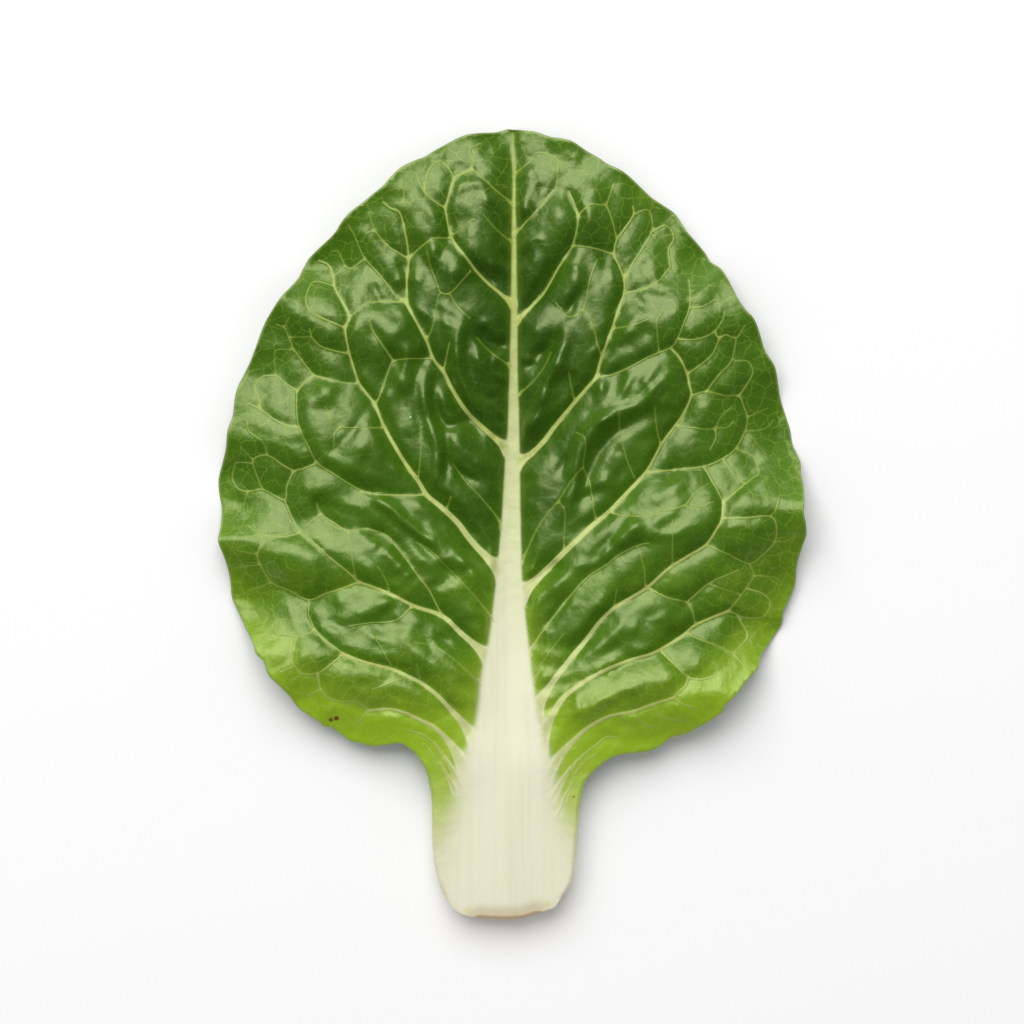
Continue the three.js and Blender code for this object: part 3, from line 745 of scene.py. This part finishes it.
def fold_relief(outline):
    """The listed folds and creases, some of them wrinkled crosswise."""
    relief = Relief(outline)
    for height, half, wrinkle, line in FOLDS:
        height *= FOLD_STRENGTH
        line = spline(line, 1.0)
        part, places, shape = relief.window(line, 3 * half)
        gap, along = distance_to_line(places, line)
        ends = 0.3 + 0.7 * np.sin(np.pi * np.clip(along, 0, 1))
        fold = height * ends * np.exp(-(gap / half) ** 2)
        if wrinkle:
            turns = along * len(line) / wrinkle
            fold *= 1 + 0.16 * (np.sin(2 * np.pi * turns) + np.sin(2 * np.pi * (0.37 * turns**1.3 + 0.3)))
        relief.heights[part] += fold.reshape(shape)
    return relief.blurred(FOLD_BLUR)


def blister_relief(outline, veins, height):
    """Small uneven swellings all over the blade, mostly drawn out along the nearest side vein."""
    relief = Relief(outline)
    draw = np.random.default_rng(BLISTER_SEED)
    routes = [vein.route for vein in veins if vein.rank == "side"]
    spots = np.vstack([route[:-1] for route in routes])
    headings = np.concatenate([np.arctan2(*np.diff(route, axis=0).T[::-1]) for route in routes])
    low, high = outline.min(axis=0), outline.max(axis=0)
    for _ in range(BLISTERS):
        middle = low + draw.random(2) * (high - low)
        narrow, stretch = draw.uniform(1.2, 2.8), draw.uniform(1.0, 3.2)
        heading = headings[np.hypot(*(spots - middle).T).argmin()]
        turn, lift = heading + draw.normal(0, 0.5), draw.uniform(-1, 1)
        part, places, shape = relief.window(middle[None, :], 2.5 * narrow * stretch)
        away = places - middle
        along = (away @ (np.cos(turn), np.sin(turn))) / (narrow * stretch)
        across = (away @ (-np.sin(turn), np.cos(turn))) / narrow
        relief.heights[part] += (height * lift * np.exp(-along**2 - across**2)).reshape(shape)
    return relief


def margin_values(places, outline):
    """For each place: its distance to the margin, and how far round the margin its nearest point is."""
    gap = np.full(len(places), np.inf)
    round_it = np.zeros(len(places))
    lengths = np.concatenate([[0], np.cumsum(np.hypot(*np.diff(outline, axis=0).T))])
    for k, point in enumerate(outline):
        reach = np.hypot(*(places - point).T)
        nearer = reach < gap
        gap[nearer] = reach[nearer]
        round_it[nearer] = lengths[k]
    return gap, round_it


def ruffle(rim, round_it, places, height):
    """Short waves along the margin that die out into the blade, and none along the stalk."""
    wave = sum(share * np.sin(2 * np.pi * round_it / length + phase) for length, share, phase in RUFFLE_WAVES)
    return height * wave * np.exp(-rim / RUFFLE_REACH) * smoothstep(56, 72, places[:, 1])


def curl(rim, places):
    """How far the edge of the blade turns up, more in some stretches than in others."""
    x, y = places.T
    left, right = read_off(CURL_LEFT, y), read_off(CURL_RIGHT, y)
    return (left + (right - left) * smoothstep(-4, 4, x)) * np.exp(-rim / CURL_REACH)


class LeafShape:
    """Everything about the leaf at each point of its plan: its two faces and the values painted on them."""

    def __init__(self, settings):
        self.settings = settings
        self.outline = leaf_outline()
        self.veins = leaf_veins()
        self.plan = PlanMesh(self.outline, self.veins)
        self.frame_upper, self.frame_lower = frame_relief(self.outline)
        self.measure(self.plan.places)

    def measure(self, places):
        thickness = self.settings.blade_thickness
        self.rim, self.round_it = margin_values(places, self.outline)
        self.edge, self.tone, rib = vein_values(places, self.veins)
        self.youth = self.youth_at(places)
        self.cut, bevel = self.cut_values(places)
        in_blade = smoothstep(48, 70, places[:, 1])
        level = self.frame_upper.blurred(FRAME_BLUR).at(places)
        foot = self.frame_lower.blurred(FOOT_BLUR).at(places)
        body = np.maximum(level - self.frame_lower.blurred(FRAME_BLUR).at(places), thickness)
        top = self.upper_face(places, level, in_blade) - CUT_BEVEL_DROP * bevel
        self.top = np.maximum(top, thickness)
        underneath = self.top - body - rib * in_blade
        resting = smoothstep(1.4, 0.3, foot) * smoothstep(1.5, 3.0, body)
        self.bottom = np.clip(underneath + (foot - underneath) * resting, 0, self.top - 0.5 * thickness)

    def upper_face(self, places, level, in_blade):
        """The frame's upper face with the leaf's pillows, folds, swellings, curl and ruffle on it."""
        given = self.settings
        pillows = pillow_relief(self.outline, self.veins, given.pillow_height).at(places)
        pillows *= 0.2 + 0.8 * smoothstep(1, 24, self.rim)
        blisters = blister_relief(self.outline, self.veins, given.blister_height).at(places)
        blisters *= 0.35 + 0.65 * smoothstep(4, 30, self.rim) + 0.8 * np.exp(-(places[:, 0] / 38) ** 2)
        off_midrib = smoothstep(-0.5, 2.5, pale_band(places)[0])
        lumps = (fold_relief(self.outline).at(places) + blisters) * off_midrib + curl(self.rim, places)
        return (level + pillows - PILLOW_SINK * given.pillow_height * in_blade
                + lumps * in_blade
                + ruffle(self.rim, self.round_it, places, given.margin_ruffle))

    def cut_values(self, places):
        """For each place: its distance to the cut, and how far down the cut's bevel it is, from 0 to 1."""
        cut_edge = self.outline[self.outline[:, 1] < CUT_LENGTH]
        cut = np.hypot(*(places[:, None] - cut_edge[None, :]).transpose(2, 0, 1)).min(axis=1)
        aside = np.abs(places[:, 0] - CUT_MIDDLE)
        cut += 3 * smoothstep(9, 15, aside)
        return cut, smoothstep(CUT_BEVEL, 0, cut) * smoothstep(19, 8, aside)

    def youth_at(self, places):
        """From 0, the dark middle of the blade, to 1, the yellow-green of its lowest lobes."""
        x, y = places.T
        youth = read_off(YOUTH, y)
        youth -= 0.2 * np.exp(-(x / 32) ** 2) * smoothstep(95, 135, y)
        youth += 0.12 * np.exp(-self.rim / 10)
        youth -= 0.19 * smoothstep(8, 20, self.rim) * smoothstep(58, 72, y) * smoothstep(112, 96, y)
        youth += 0.3 * np.exp(-np.clip(pale_band(places)[0], 0, None) / 5) * smoothstep(130, 95, y)
        return np.clip(youth, 0, 1)


# ---------------------------------------------------------------------------------------------
# The leaf's mesh

RIM_ROWS = 3  # rows of points round the edge between the upper and lower faces
RIM_BULGE = 0.32  # how far the edge bulges, as a share of its thickness
WIDEST_BULGE = 0.8
RIM_SHARES = [(k + 1) / (RIM_ROWS + 1) for k in range(RIM_ROWS)]  # of the way down the edge

# What is painted on the mesh: the distance outside the nearest vein and how pale that vein is, how young
# the blade is, the distances to the margin and to the cut, how much of the stalk and of its wings shows, and
# from 0 to 1 how far round the edge a point is from the upper face to the lower.
SKIN_VALUES = ("vein_edge", "vein_tone", "youth", "rim", "cut", "stalk", "wing", "under")


def boundary_ring(faces):
    """The outer points of a flat mesh, in order, anticlockwise."""
    sides = {}
    for a, b, c in faces:
        for edge in ((a, b), (b, c), (c, a)):
            sides[edge] = True
    onward = {a: b for a, b in sides if (b, a) not in sides}
    ring = [next(iter(onward))]
    while onward[ring[-1]] != ring[0]:
        ring.append(onward[ring[-1]])
    return np.array(ring)


def leaf_mesh(shape):
    """One closed mesh: the upper face, the lower face and the rounded edge between them."""
    places, faces = shape.plan.places, shape.plan.faces
    count = len(places)
    ring = boundary_ring(faces)
    upper_points = np.column_stack([places, shape.top])
    lower_points = np.column_stack([places, shape.bottom])
    points = np.vstack([upper_points, lower_points, *edge_rows(shape, ring)])
    points[:, :2] = to_frame(points[:, :2])
    points[:, 2] = points[:, 2] * MM + LEAF_BOX[0].z
    upper = [tuple(f) for f in faces]
    lower = [tuple(f + count) for f in faces[:, ::-1]]
    rows = [2 * count + k * len(ring) + np.arange(len(ring)) for k in range(RIM_ROWS)]
    chains = [ring, *rows, ring + count]
    walls = []
    for high, low in zip(chains, chains[1:]):
        walls += [tuple(q) for q in np.column_stack([high, low, np.roll(low, -1), np.roll(high, -1)])]
    mesh = bpy.data.meshes.new("collard_leaf_visual")
    mesh.from_pydata(points.tolist(), [], upper + lower + walls)
    mesh.shade_smooth()
    paint_values(mesh, shape, ring)
    at_cut = places[ring, 1] < CUT_LENGTH
    slots = np.zeros(len(mesh.polygons), np.int32)
    slots[len(upper) + len(lower):][np.tile(at_cut & np.roll(at_cut, -1), RIM_ROWS + 1)] = 1
    mesh.polygons.foreach_set("material_index", slots)
    sharpen_cut(mesh, slots)
    return mesh


def edge_rows(shape, ring):
    """The rows of points that round the edge off between the upper and lower faces."""
    places = shape.plan.places
    before, after = places[np.roll(ring, 1)], places[np.roll(ring, -1)]
    outward = np.column_stack([(after - before)[:, 1], -(after - before)[:, 0]])
    outward /= np.hypot(*outward.T)[:, None]
    depth = shape.top[ring] - shape.bottom[ring]
    bulge = np.minimum(RIM_BULGE * depth, WIDEST_BULGE) * smoothstep(2, CUT_LENGTH + 4, places[ring, 1])
    rows = []
    for share in RIM_SHARES:
        plan = places[ring] + outward * (bulge * np.sin(np.pi * share))[:, None]
        rows.append(np.column_stack([plan, shape.top[ring] - depth * share]))
    return rows


def paint_values(mesh, shape, ring):
    """Stores the values that the skin's material reads: those in SKIN_VALUES, at every point."""
    places = shape.plan.places
    away, softness = pale_band(places)
    stalk = smoothstep(0.5, -0.5, away / softness) * smoothstep(MIDRIB_FIBRES_END, STALK_END, places[:, 1])
    wing = read_off(WING_PALENESS, places[:, 1])
    plan_values = (shape.edge, shape.tone, shape.youth, shape.rim, shape.cut, stalk, wing)
    values = [np.concatenate([v, v, *[v[ring]] * RIM_ROWS]) for v in plan_values]
    sides = [np.full(len(ring), share) for share in RIM_SHARES]
    values.append(np.concatenate([np.zeros(len(places)), np.ones(len(places)), *sides]))
    for name, amounts in zip(SKIN_VALUES, values):
        layer = mesh.attributes.new(name, "FLOAT", "POINT")
        layer.data.foreach_set("value", amounts.astype(np.float32))


def sharpen_cut(mesh, slots):
    """Marks the crisp edge all round the cut face."""
    sides = {}
    for polygon in mesh.polygons:
        for key in polygon.edge_keys:
            sides.setdefault(key, set()).add(slots[polygon.index])
    sharp = mesh.attributes.new("sharp_edge", "BOOLEAN", "EDGE")
    sharp.data.foreach_set("value", [len(sides[e.key]) > 1 for e in mesh.edges])


# ---------------------------------------------------------------------------------------------
# Materials


class Shader:
    """Adds nodes and links them, in a material, a node group or the world."""

    def __init__(self, tree):
        self.tree = tree

    def node(self, kind, settings=None, **inputs):
        made = self.tree.nodes.new(kind)
        for name, value in (settings or {}).items():
            setattr(made, name, value)
        for name, value in inputs.items():
            self.plug(made.inputs[name.replace("_", " ")], value)
        return made

    def plug(self, socket, value):
        if isinstance(value, bpy.types.NodeSocket):
            self.tree.links.new(value, socket)
        else:
            socket.default_value = value

    def math(self, operation, a, b, clamp=False):
        made = self.tree.nodes.new("ShaderNodeMath")
        made.operation = operation
        made.use_clamp = clamp
        self.plug(made.inputs[0], a)
        self.plug(made.inputs[1], b)
        return made.outputs[0]

    def times(self, a, b):
        return self.math("MULTIPLY", a, b)

    def plus(self, a, b, clamp=False):
        return self.math("ADD", a, b, clamp)

    def minus(self, a, b, clamp=False):
        return self.math("SUBTRACT", a, b, clamp)

    def ramp(self, value, low, high, to_low=0.0, to_high=1.0):
        """A value from low..high smoothly mapped to another range."""
        made = self.tree.nodes.new("ShaderNodeMapRange")
        made.interpolation_type = "SMOOTHSTEP"
        for socket, given in zip(made.inputs, (value, low, high, to_low, to_high)):
            self.plug(socket, given)
        return made.outputs["Result"]

    def mix(self, share, a, b):
        """The colour a with this share of the colour b over it."""
        made = self.tree.nodes.new("ShaderNodeMix")
        made.data_type = "RGBA"
        self.plug(made.inputs["Factor"], share)
        self.plug(made.inputs["A"], a)
        self.plug(made.inputs["B"], b)
        return made.outputs["Result"]

    def attribute(self, name):
        return self.node("ShaderNodeAttribute", {"attribute_name": name}).outputs["Fac"]

    def stretched(self, scale):
        """Object coordinates in millimetres, stretched along each axis."""
        place = self.node("ShaderNodeTexCoord").outputs["Object"]
        return self.node("ShaderNodeMapping", Vector=place, Scale=[s / MM for s in scale]).outputs["Vector"]

    def noise(self, scale, detail=3.0, roughness=0.55, stretch=(1, 1, 1)):
        return self.node("ShaderNodeTexNoise", Vector=self.stretched(stretch), Scale=scale,
                         Detail=detail, Roughness=roughness).outputs["Fac"]

    def group(self, name, **inputs):
        made = self.tree.nodes.new("ShaderNodeGroup")
        made.node_tree = bpy.data.node_groups[name]
        for label, value in inputs.items():
            self.plug(made.inputs[label.replace("_", " ")], value)
        return made.outputs


def new_group(name, inputs, outputs):
    tree = bpy.data.node_groups.new(name, "ShaderNodeTree")
    for label, default in inputs.items():
        kind = "NodeSocketFloat" if isinstance(default, float) else "NodeSocketVector"
        tree.interface.new_socket(label, in_out="INPUT", socket_type=kind).default_value = default
    for label in outputs:
        tree.interface.new_socket(label, in_out="OUTPUT", socket_type="NodeSocketFloat")
    made = Shader(tree)
    return made, made.node("NodeGroupInput").outputs, made.node("NodeGroupOutput").inputs


def vein_net_group():
    """A net of fine veins: cells a few millimetres across with wandering edges."""
    made, given, result = new_group(
        "Vein Net", {"Cell Size": 4.0, "Line Width": 0.1, "Wander": 0.3}, ["Line"])
    place = made.stretched((1, 1, 0))
    drift = made.node("ShaderNodeTexNoise", Vector=place, Scale=0.45, Detail=3.0).outputs["Color"]
    centred = made.node("ShaderNodeVectorMath", {"operation": "SUBTRACT"})
    made.plug(centred.inputs[0], drift)
    centred.inputs[1].default_value = (0.5, 0.5, 0.5)
    scaled = made.node("ShaderNodeVectorMath", {"operation": "SCALE"})
    made.plug(scaled.inputs[0], centred.outputs[0])
    made.plug(scaled.inputs["Scale"], made.times(given["Cell Size"], given["Wander"]))
    moved = made.node("ShaderNodeVectorMath", {"operation": "ADD"})
    made.plug(moved.inputs[0], place)
    made.plug(moved.inputs[1], scaled.outputs[0])
    cells = made.node("ShaderNodeTexVoronoi", {"feature": "DISTANCE_TO_EDGE", "voronoi_dimensions": "2D"},
                      Vector=moved.outputs[0], Scale=made.math("DIVIDE", 1.0, given["Cell Size"]),
                      Randomness=0.9)
    made.plug(result["Line"], made.ramp(cells.outputs["Distance"], given["Line Width"], 0.0))


def tissue_grain_group():
    """Fine plant tissue: soft mottling with small cells in it."""
    made, given, result = new_group("Tissue Grain", {"Size": 0.4}, ["Mottle", "Height"])
    place = made.stretched((1, 1, 1))
    scale = made.math("DIVIDE", 1.0, given["Size"])
    mottle = made.node("ShaderNodeTexNoise", Vector=place, Scale=scale, Detail=4.0, Roughness=0.6)
    cells = made.node("ShaderNodeTexVoronoi", {"feature": "SMOOTH_F1"}, Vector=place, Scale=scale)
    made.plug(result["Mottle"], mottle.outputs["Fac"])
    made.plug(result["Height"], made.times(cells.outputs["Distance"], 0.6))


def mark_group():
    """A small blemish with a ragged edge, at a place on the leaf."""
    made, given, result = new_group("Mark", {"Centre": (0.0, 0.0, 0.0), "Radius": 1.0}, ["Mask"])
    place = made.stretched((1, 1, 0))
    gap = made.node("ShaderNodeVectorMath", {"operation": "DISTANCE"})
    made.plug(gap.inputs[0], place)
    made.plug(gap.inputs[1], given["Centre"])
    ragged = made.plus(made.times(made.noise(1.6, stretch=(1, 1, 0)), 1.4), 0.5)
    away = made.times(made.math("DIVIDE", gap.outputs["Value"], given["Radius"]), ragged)
    made.plug(result["Mask"], made.ramp(away, 1.0, 0.45))


def new_material(name):
    material = bpy.data.materials.new(name)
    material.use_nodes = True
    made = Shader(material.node_tree)
    principled = next(n for n in material.node_tree.nodes if n.type == "BSDF_PRINCIPLED")
    return material, made, principled


def colour_ramp(made, value, stops):
    """A colour from stops of position and colour."""
    node = made.node("ShaderNodeValToRGB", Fac=value)
    ramp = node.color_ramp
    for k, (position, colour) in enumerate(stops):
        stop = ramp.elements[k] if k < 2 else ramp.elements.new(position)
        stop.position = position
        stop.color = colour
    return node.outputs["Color"]


# brown of a dried spot, and of the line at the cut's edge, which is partly painted contact shadow
DRIED_AND_SHADOW_BROWN = (0.13, 0.06, 0.012, 1)
MIDDLING_VEIN = (0.43, 0.50, 0.12, 1)
PALE_EDGE = (0.30, 0.38, 0.14, 1)
PALE_RIB = (0.48, 0.55, 0.27, 1)
FLESH_TAN = (0.66, 0.60, 0.36, 1)
FIBRE_GREEN = (0.34, 0.36, 0.12, 1)
SKIN_IOR = 1.56
SHEEN_TINT = (0.92, 1.0, 0.54, 1)
MARKS = [  # place in leaf millimetres, radius, colour
    ((-57.4, 65.9), 1.3, DRIED_AND_SHADOW_BROWN),
    ((-59.2, 65.3), 1.2, (0.12, 0.12, 0.012, 1)),
    ((20.5, 40.2), 0.5, (0.06, 0.12, 0.004, 1)),
    ((-33.0, 164.7), 0.5, (0.5, 0.55, 0.42, 1)),
    ((-14.5, 2.8), 1.8, (0.74, 0.70, 0.42, 1)),
    ((12.0, 5.0), 1.6, (0.72, 0.69, 0.40, 1)),
]


def leaf_skin_material(settings):
    """Waxy green between pale veins, fading into the cream stalk, and duller below."""
    material, made, skin = new_material("leaf_skin")
    at = SimpleNamespace(**{name: made.attribute(name) for name in SKIN_VALUES})
    at.on_vein = made.ramp(at.vein_edge, 0.16, -0.16)
    at.fibres = made.noise(1.0, detail=2.0, stretch=(0.32, 0.012, 0.2))
    at.veinlets = made.group("Vein Net", Cell_Size=4.6, Line_Width=0.05, Wander=0.5)["Line"]
    at.grain = made.group("Tissue Grain", Size=0.32)
    upper = upper_colour(made, at, settings)
    colour = made.mix(made.ramp(at.under, 0.45, 0.9), upper, lower_colour(made, at, upper, settings))
    colour = dried_and_shaded_towards_cut(made, at, colour, settings)
    made.plug(skin.inputs["Base Color"], with_marks(made, at, colour))
    made.plug(skin.inputs["Roughness"], skin_roughness(made, at))
    made.plug(skin.inputs["Specular IOR Level"], made.ramp(at.rim, 1.0, 8.0, 0.85, 1.0))
    skin.inputs["Specular Tint"].default_value = SHEEN_TINT
    skin.inputs["IOR"].default_value = SKIN_IOR
    bump = made.node("ShaderNodeBump", Strength=0.9, Distance=MM, Height=skin_height(made, at))
    made.plug(skin.inputs["Normal"], bump.outputs["Normal"])
    return material


def upper_colour(made, at, settings):
    """The upper face: blade, net of veins, wings, stalk and pale rim."""
    patches = made.noise(0.09, detail=4.0)
    mottle = made.group("Tissue Grain", Size=0.9)["Mottle"]
    drift = made.plus(made.times(made.minus(patches, 0.5), 0.34), made.times(made.minus(mottle, 0.5), 0.22))
    age = made.plus(at.youth, drift, clamp=True)
    blade = colour_ramp(made, age, [(0.0, settings.dark_green), (1.0, settings.young_green),
                                    (0.48, settings.mid_green)])
    thin_vein = made.mix(made.ramp(age, 0.4, 0.95), settings.vein_green, settings.wing_green)
    blade = made.mix(net_share(made, at, age), blade, thin_vein)
    halo = made.ramp(at.vein_edge, 0.7, 0.0, 0.0, 0.2)
    blade = made.mix(halo, blade, thin_vein)
    cream = made.mix(made.ramp(at.fibres, 0.4, 0.75, 0.0, 0.3), settings.stalk_cream, settings.vein_cream)
    blade = made.mix(made.ramp(at.wing, 0.0, 0.55), blade, settings.wing_green)
    blade = made.mix(made.ramp(at.wing, 0.3, 1.0), blade, cream)
    vein = colour_ramp(made, at.vein_tone, [(0.0, settings.vein_green), (1.0, settings.vein_cream),
                                            (0.45, MIDDLING_VEIN)])
    upper = made.mix(at.on_vein, blade, vein)
    upper = made.mix(at.stalk, upper, cream)
    pale_edge = made.times(made.ramp(at.rim, 0.6, 0.15, 0.0, 0.5), made.ramp(at.wing, 0.5, 0.0))
    return made.mix(pale_edge, upper, PALE_EDGE)


def net_share(made, at, age):
    """How much of the fine net shows: most near the margin, least where the blade is young."""
    finest = made.group("Vein Net", Cell_Size=1.7, Line_Width=0.09, Wander=0.4)["Line"]
    net = made.plus(made.times(at.veinlets, 0.6), made.times(finest, 0.2), clamp=True)
    near_margin = made.ramp(at.rim, 45.0, 6.0, 0.25, 1.0)
    return made.times(net, made.times(near_margin, made.ramp(age, 0.5, 0.9, 1.0, 0.3)))


def lower_colour(made, at, upper, settings):
    """The underside: a dull bloom over the blade, pale ribs and the stalk."""
    bloom = made.mix(made.times(at.under, 0.6), upper, settings.underside_green)
    bloom = made.mix(made.times(at.on_vein, made.ramp(at.under, 0.5, 1.0)), bloom, PALE_RIB)
    return made.mix(made.ramp(at.wing, 0.1, 0.9), bloom, settings.stalk_cream)


def dried_and_shaded_towards_cut(made, at, colour, settings):
    """Tan near the cut, and a brown line at its very edge that is partly the dried edge and partly painted
    contact shadow.
    """
    ragged = made.plus(at.cut, made.times(made.noise(0.8), 1.6))
    colour = made.mix(made.ramp(ragged, 6.5, 0.8, 0.0, 0.8), colour, settings.cut_tan)
    # the brown line at the cut's edge: partly the dried edge, partly painted contact shadow
    return made.mix(made.ramp(at.cut, 1.5, 0.5, 0.0, 0.55), colour, DRIED_AND_SHADOW_BROWN)


def with_marks(made, at, colour):
    """The blemishes, which show on the upper face only."""
    for (x, y), radius, mark_colour in MARKS:
        centre = (x, y + ORIGIN[1] / MM, 0)
        mask = made.group("Mark", Centre=centre, Radius=radius)["Mask"]
        seen = made.times(mask, made.ramp(at.under, 0.6, 0.2))
        colour = made.mix(seen, colour, mark_colour)
    return colour


def skin_roughness(made, at):
    """Waxy on the blade, and duller on the veins, the stalk and the underside."""
    rough = made.ramp(at.grain["Mottle"], 0.3, 0.7, 0.34, 0.41)
    for where, duller in ((at.on_vein, 0.14), (at.under, 0.22), (at.stalk, 0.14)):
        rough = made.plus(rough, made.times(where, duller))
    return rough


def skin_height(made, at):
    """The relief too fine for the mesh, in millimetres: wrinkles, sunk veinlets, cords, grain and fibres."""
    blade_only = made.minus(1.0, at.stalk, clamp=True)
    wrinkles = made.times(made.noise(0.2, detail=2.0, roughness=0.4), 0.6)
    height = made.times(made.plus(wrinkles, made.times(at.veinlets, -0.012)), blade_only)
    height = made.plus(height, made.ramp(at.vein_edge, 0.4, -0.6, 0.0, 0.16))
    height = made.plus(height, made.times(at.grain["Height"], 0.012))
    return made.plus(height, made.times(made.times(at.fibres, at.stalk), 0.5))


def cut_face_material(settings):
    """Pale wet flesh with a dried rim and the ends of the fibre bundles."""
    material, made, face = new_material("cut_face")
    grain = made.group("Tissue Grain", Size=0.6)
    flesh = made.mix(made.ramp(grain["Mottle"], 0.35, 0.7), settings.stalk_cream, FLESH_TAN)
    fibres = made.node("ShaderNodeTexVoronoi", {"feature": "F1"},
                       Vector=made.stretched((1, 0, 1)), Scale=0.45)
    fibre_ends = made.ramp(fibres.outputs["Distance"], 0.26, 0.16)
    colour = made.mix(made.times(fibre_ends, 0.55), flesh, FIBRE_GREEN)
    dried = made.ramp(made.noise(0.35), 0.3, 0.65, 0.15, 0.6)
    colour = made.mix(dried, colour, settings.cut_tan)
    made.plug(face.inputs["Base Color"], colour)
    made.plug(face.inputs["Roughness"], made.ramp(grain["Mottle"], 0.3, 0.7, 0.45, 0.6))
    height = made.plus(made.times(fibre_ends, 0.25), made.times(grain["Height"], 0.12))
    bump = made.node("ShaderNodeBump", Strength=0.8, Distance=MM, Height=height)
    made.plug(face.inputs["Normal"], bump.outputs["Normal"])
    return material


def floor_material(settings):
    material, made, floor = new_material("floor_paper")
    tint = made.noise(0.02, detail=2.0)
    made.plug(floor.inputs["Base Color"],
              made.mix(made.times(tint, 0.02), settings.floor_colour, (0.9, 0.9, 0.9, 1)))
    floor.inputs["Roughness"].default_value = 0.9
    floor.inputs["Specular IOR Level"].default_value = 0.1
    return material


# ---------------------------------------------------------------------------------------------
# Operators


class LEAF_OT_build_leaf(bpy.types.Operator):
    """Build the leaf: blade, veins, stalk and cut face as one closed piece"""

    bl_idname = "collard.build_leaf"
    bl_label = "Build Leaf"

    def execute(self, context):
        settings = context.scene.collard_leaf
        for make_group in (vein_net_group, tissue_grain_group, mark_group):
            make_group()
        mesh = leaf_mesh(LeafShape(settings))
        mesh.materials.append(leaf_skin_material(settings))
        mesh.materials.append(cut_face_material(settings))
        leaf = bpy.data.objects.new("collard_leaf_visual", mesh)
        context.scene.collection.objects.link(leaf)
        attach(leaf, "root")
        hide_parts("collard_leaf")
        return {"FINISHED"}


class LEAF_OT_build_stage(bpy.types.Operator):
    """Build the floor, the soft light and the camera above the leaf"""

    bl_idname = "collard.build_stage"
    bl_label = "Build Stage"

    FLOOR_HALF = 3.0
    KEY_SIZE = 2.4
    KEY_PLACE = (-0.45, 1.5, 1.95)
    KEY_TILT = (-37, -12, 0)  # degrees
    SENSOR = 36.0
    CAMERA_SHIFT = (0.3, 3.6)  # the camera's axis meets the leaf this far from its middle, in millimetres

    def execute(self, context):
        settings = context.scene.collard_stage
        self.floor(context, settings)
        self.camera(context, settings)
        self.lights(context, settings)
        return {"FINISHED"}

    def floor(self, context, settings):
        half = self.FLOOR_HALF
        mesh = bpy.data.meshes.new("floor")
        mesh.from_pydata([(-half, -half, 0), (half, -half, 0), (half, half, 0), (-half, half, 0)],
                         [], [(0, 1, 2, 3)])
        mesh.materials.append(floor_material(settings))
        floor = bpy.data.objects.new("floor", mesh)
        floor.location.z = LEAF_BOX[0].z
        context.scene.collection.objects.link(floor)

    def camera(self, context, settings):
        data = bpy.data.cameras.new("camera")
        camera = bpy.data.objects.new("camera", data)
        context.scene.collection.objects.link(camera)
        middle = (LEAF_BOX[0] + LEAF_BOX[1]) / 2
        camera.location = (middle.x + self.CAMERA_SHIFT[0] * MM, middle.y + self.CAMERA_SHIFT[1] * MM,
                           LEAF_BOX[0].z + settings.camera_height)
        data.sensor_width = self.SENSOR
        data.lens = self.SENSOR * (settings.camera_height - middle.z) / settings.view_width
        context.scene.camera = camera

    def lights(self, context, settings):
        data = bpy.data.lights.new("key", "AREA")
        data.shape = "SQUARE"
        data.size = self.KEY_SIZE
        data.energy = settings.key_power
        key = bpy.data.objects.new("key", data)
        key.location = self.KEY_PLACE
        key.rotation_euler = Euler([np.radians(a) for a in self.KEY_TILT])
        context.scene.collection.objects.link(key)
        context.scene.world = self.world(settings)
        context.scene.view_settings.view_transform = "Standard"

    def world(self, settings):
        """Even white light that the wax doesn't mirror, and plain white to the camera."""
        world = bpy.data.worlds.new("studio")
        world.use_nodes = True
        background = world.node_tree.nodes["Background"]
        background.inputs["Color"].default_value = (1, 1, 1, 1)
        made = Shader(world.node_tree)
        path = made.node("ShaderNodeLightPath").outputs
        fill = made.times(made.minus(1.0, path["Is Glossy Ray"]), settings.fill_strength)
        made.plug(background.inputs["Strength"], made.math("MAXIMUM", fill, path["Is Camera Ray"]))
        return world


class LEAF_PT_panel(bpy.types.Panel):
    """Both operators with their settings"""

    bl_label = "Collard Leaf"
    bl_space_type = "VIEW_3D"
    bl_region_type = "UI"
    bl_category = "Collard Leaf"

    def draw(self, context):
        for operator, settings in ((LEAF_OT_build_leaf, context.scene.collard_leaf),
                                   (LEAF_OT_build_stage, context.scene.collard_stage)):
            box = self.layout.box()
            box.operator(operator.bl_idname)
            for name in settings.bl_rna.properties.keys():
                if name not in ("rna_type", "name"):
                    box.prop(settings, name)


CLASSES = (LeafSettings, StageSettings, LEAF_OT_build_leaf, LEAF_OT_build_stage, LEAF_PT_panel)


def register():
    for cls in CLASSES:
        bpy.utils.register_class(cls)
    bpy.types.Scene.collard_leaf = bpy.props.PointerProperty(type=LeafSettings)
    bpy.types.Scene.collard_stage = bpy.props.PointerProperty(type=StageSettings)


def unregister():
    del bpy.types.Scene.collard_stage
    del bpy.types.Scene.collard_leaf
    for cls in reversed(CLASSES):
        bpy.utils.unregister_class(cls)


def main():
    register()
    bpy.ops.collard.build_leaf()
    bpy.ops.collard.build_stage()


if __name__ == "__main__":
    main()
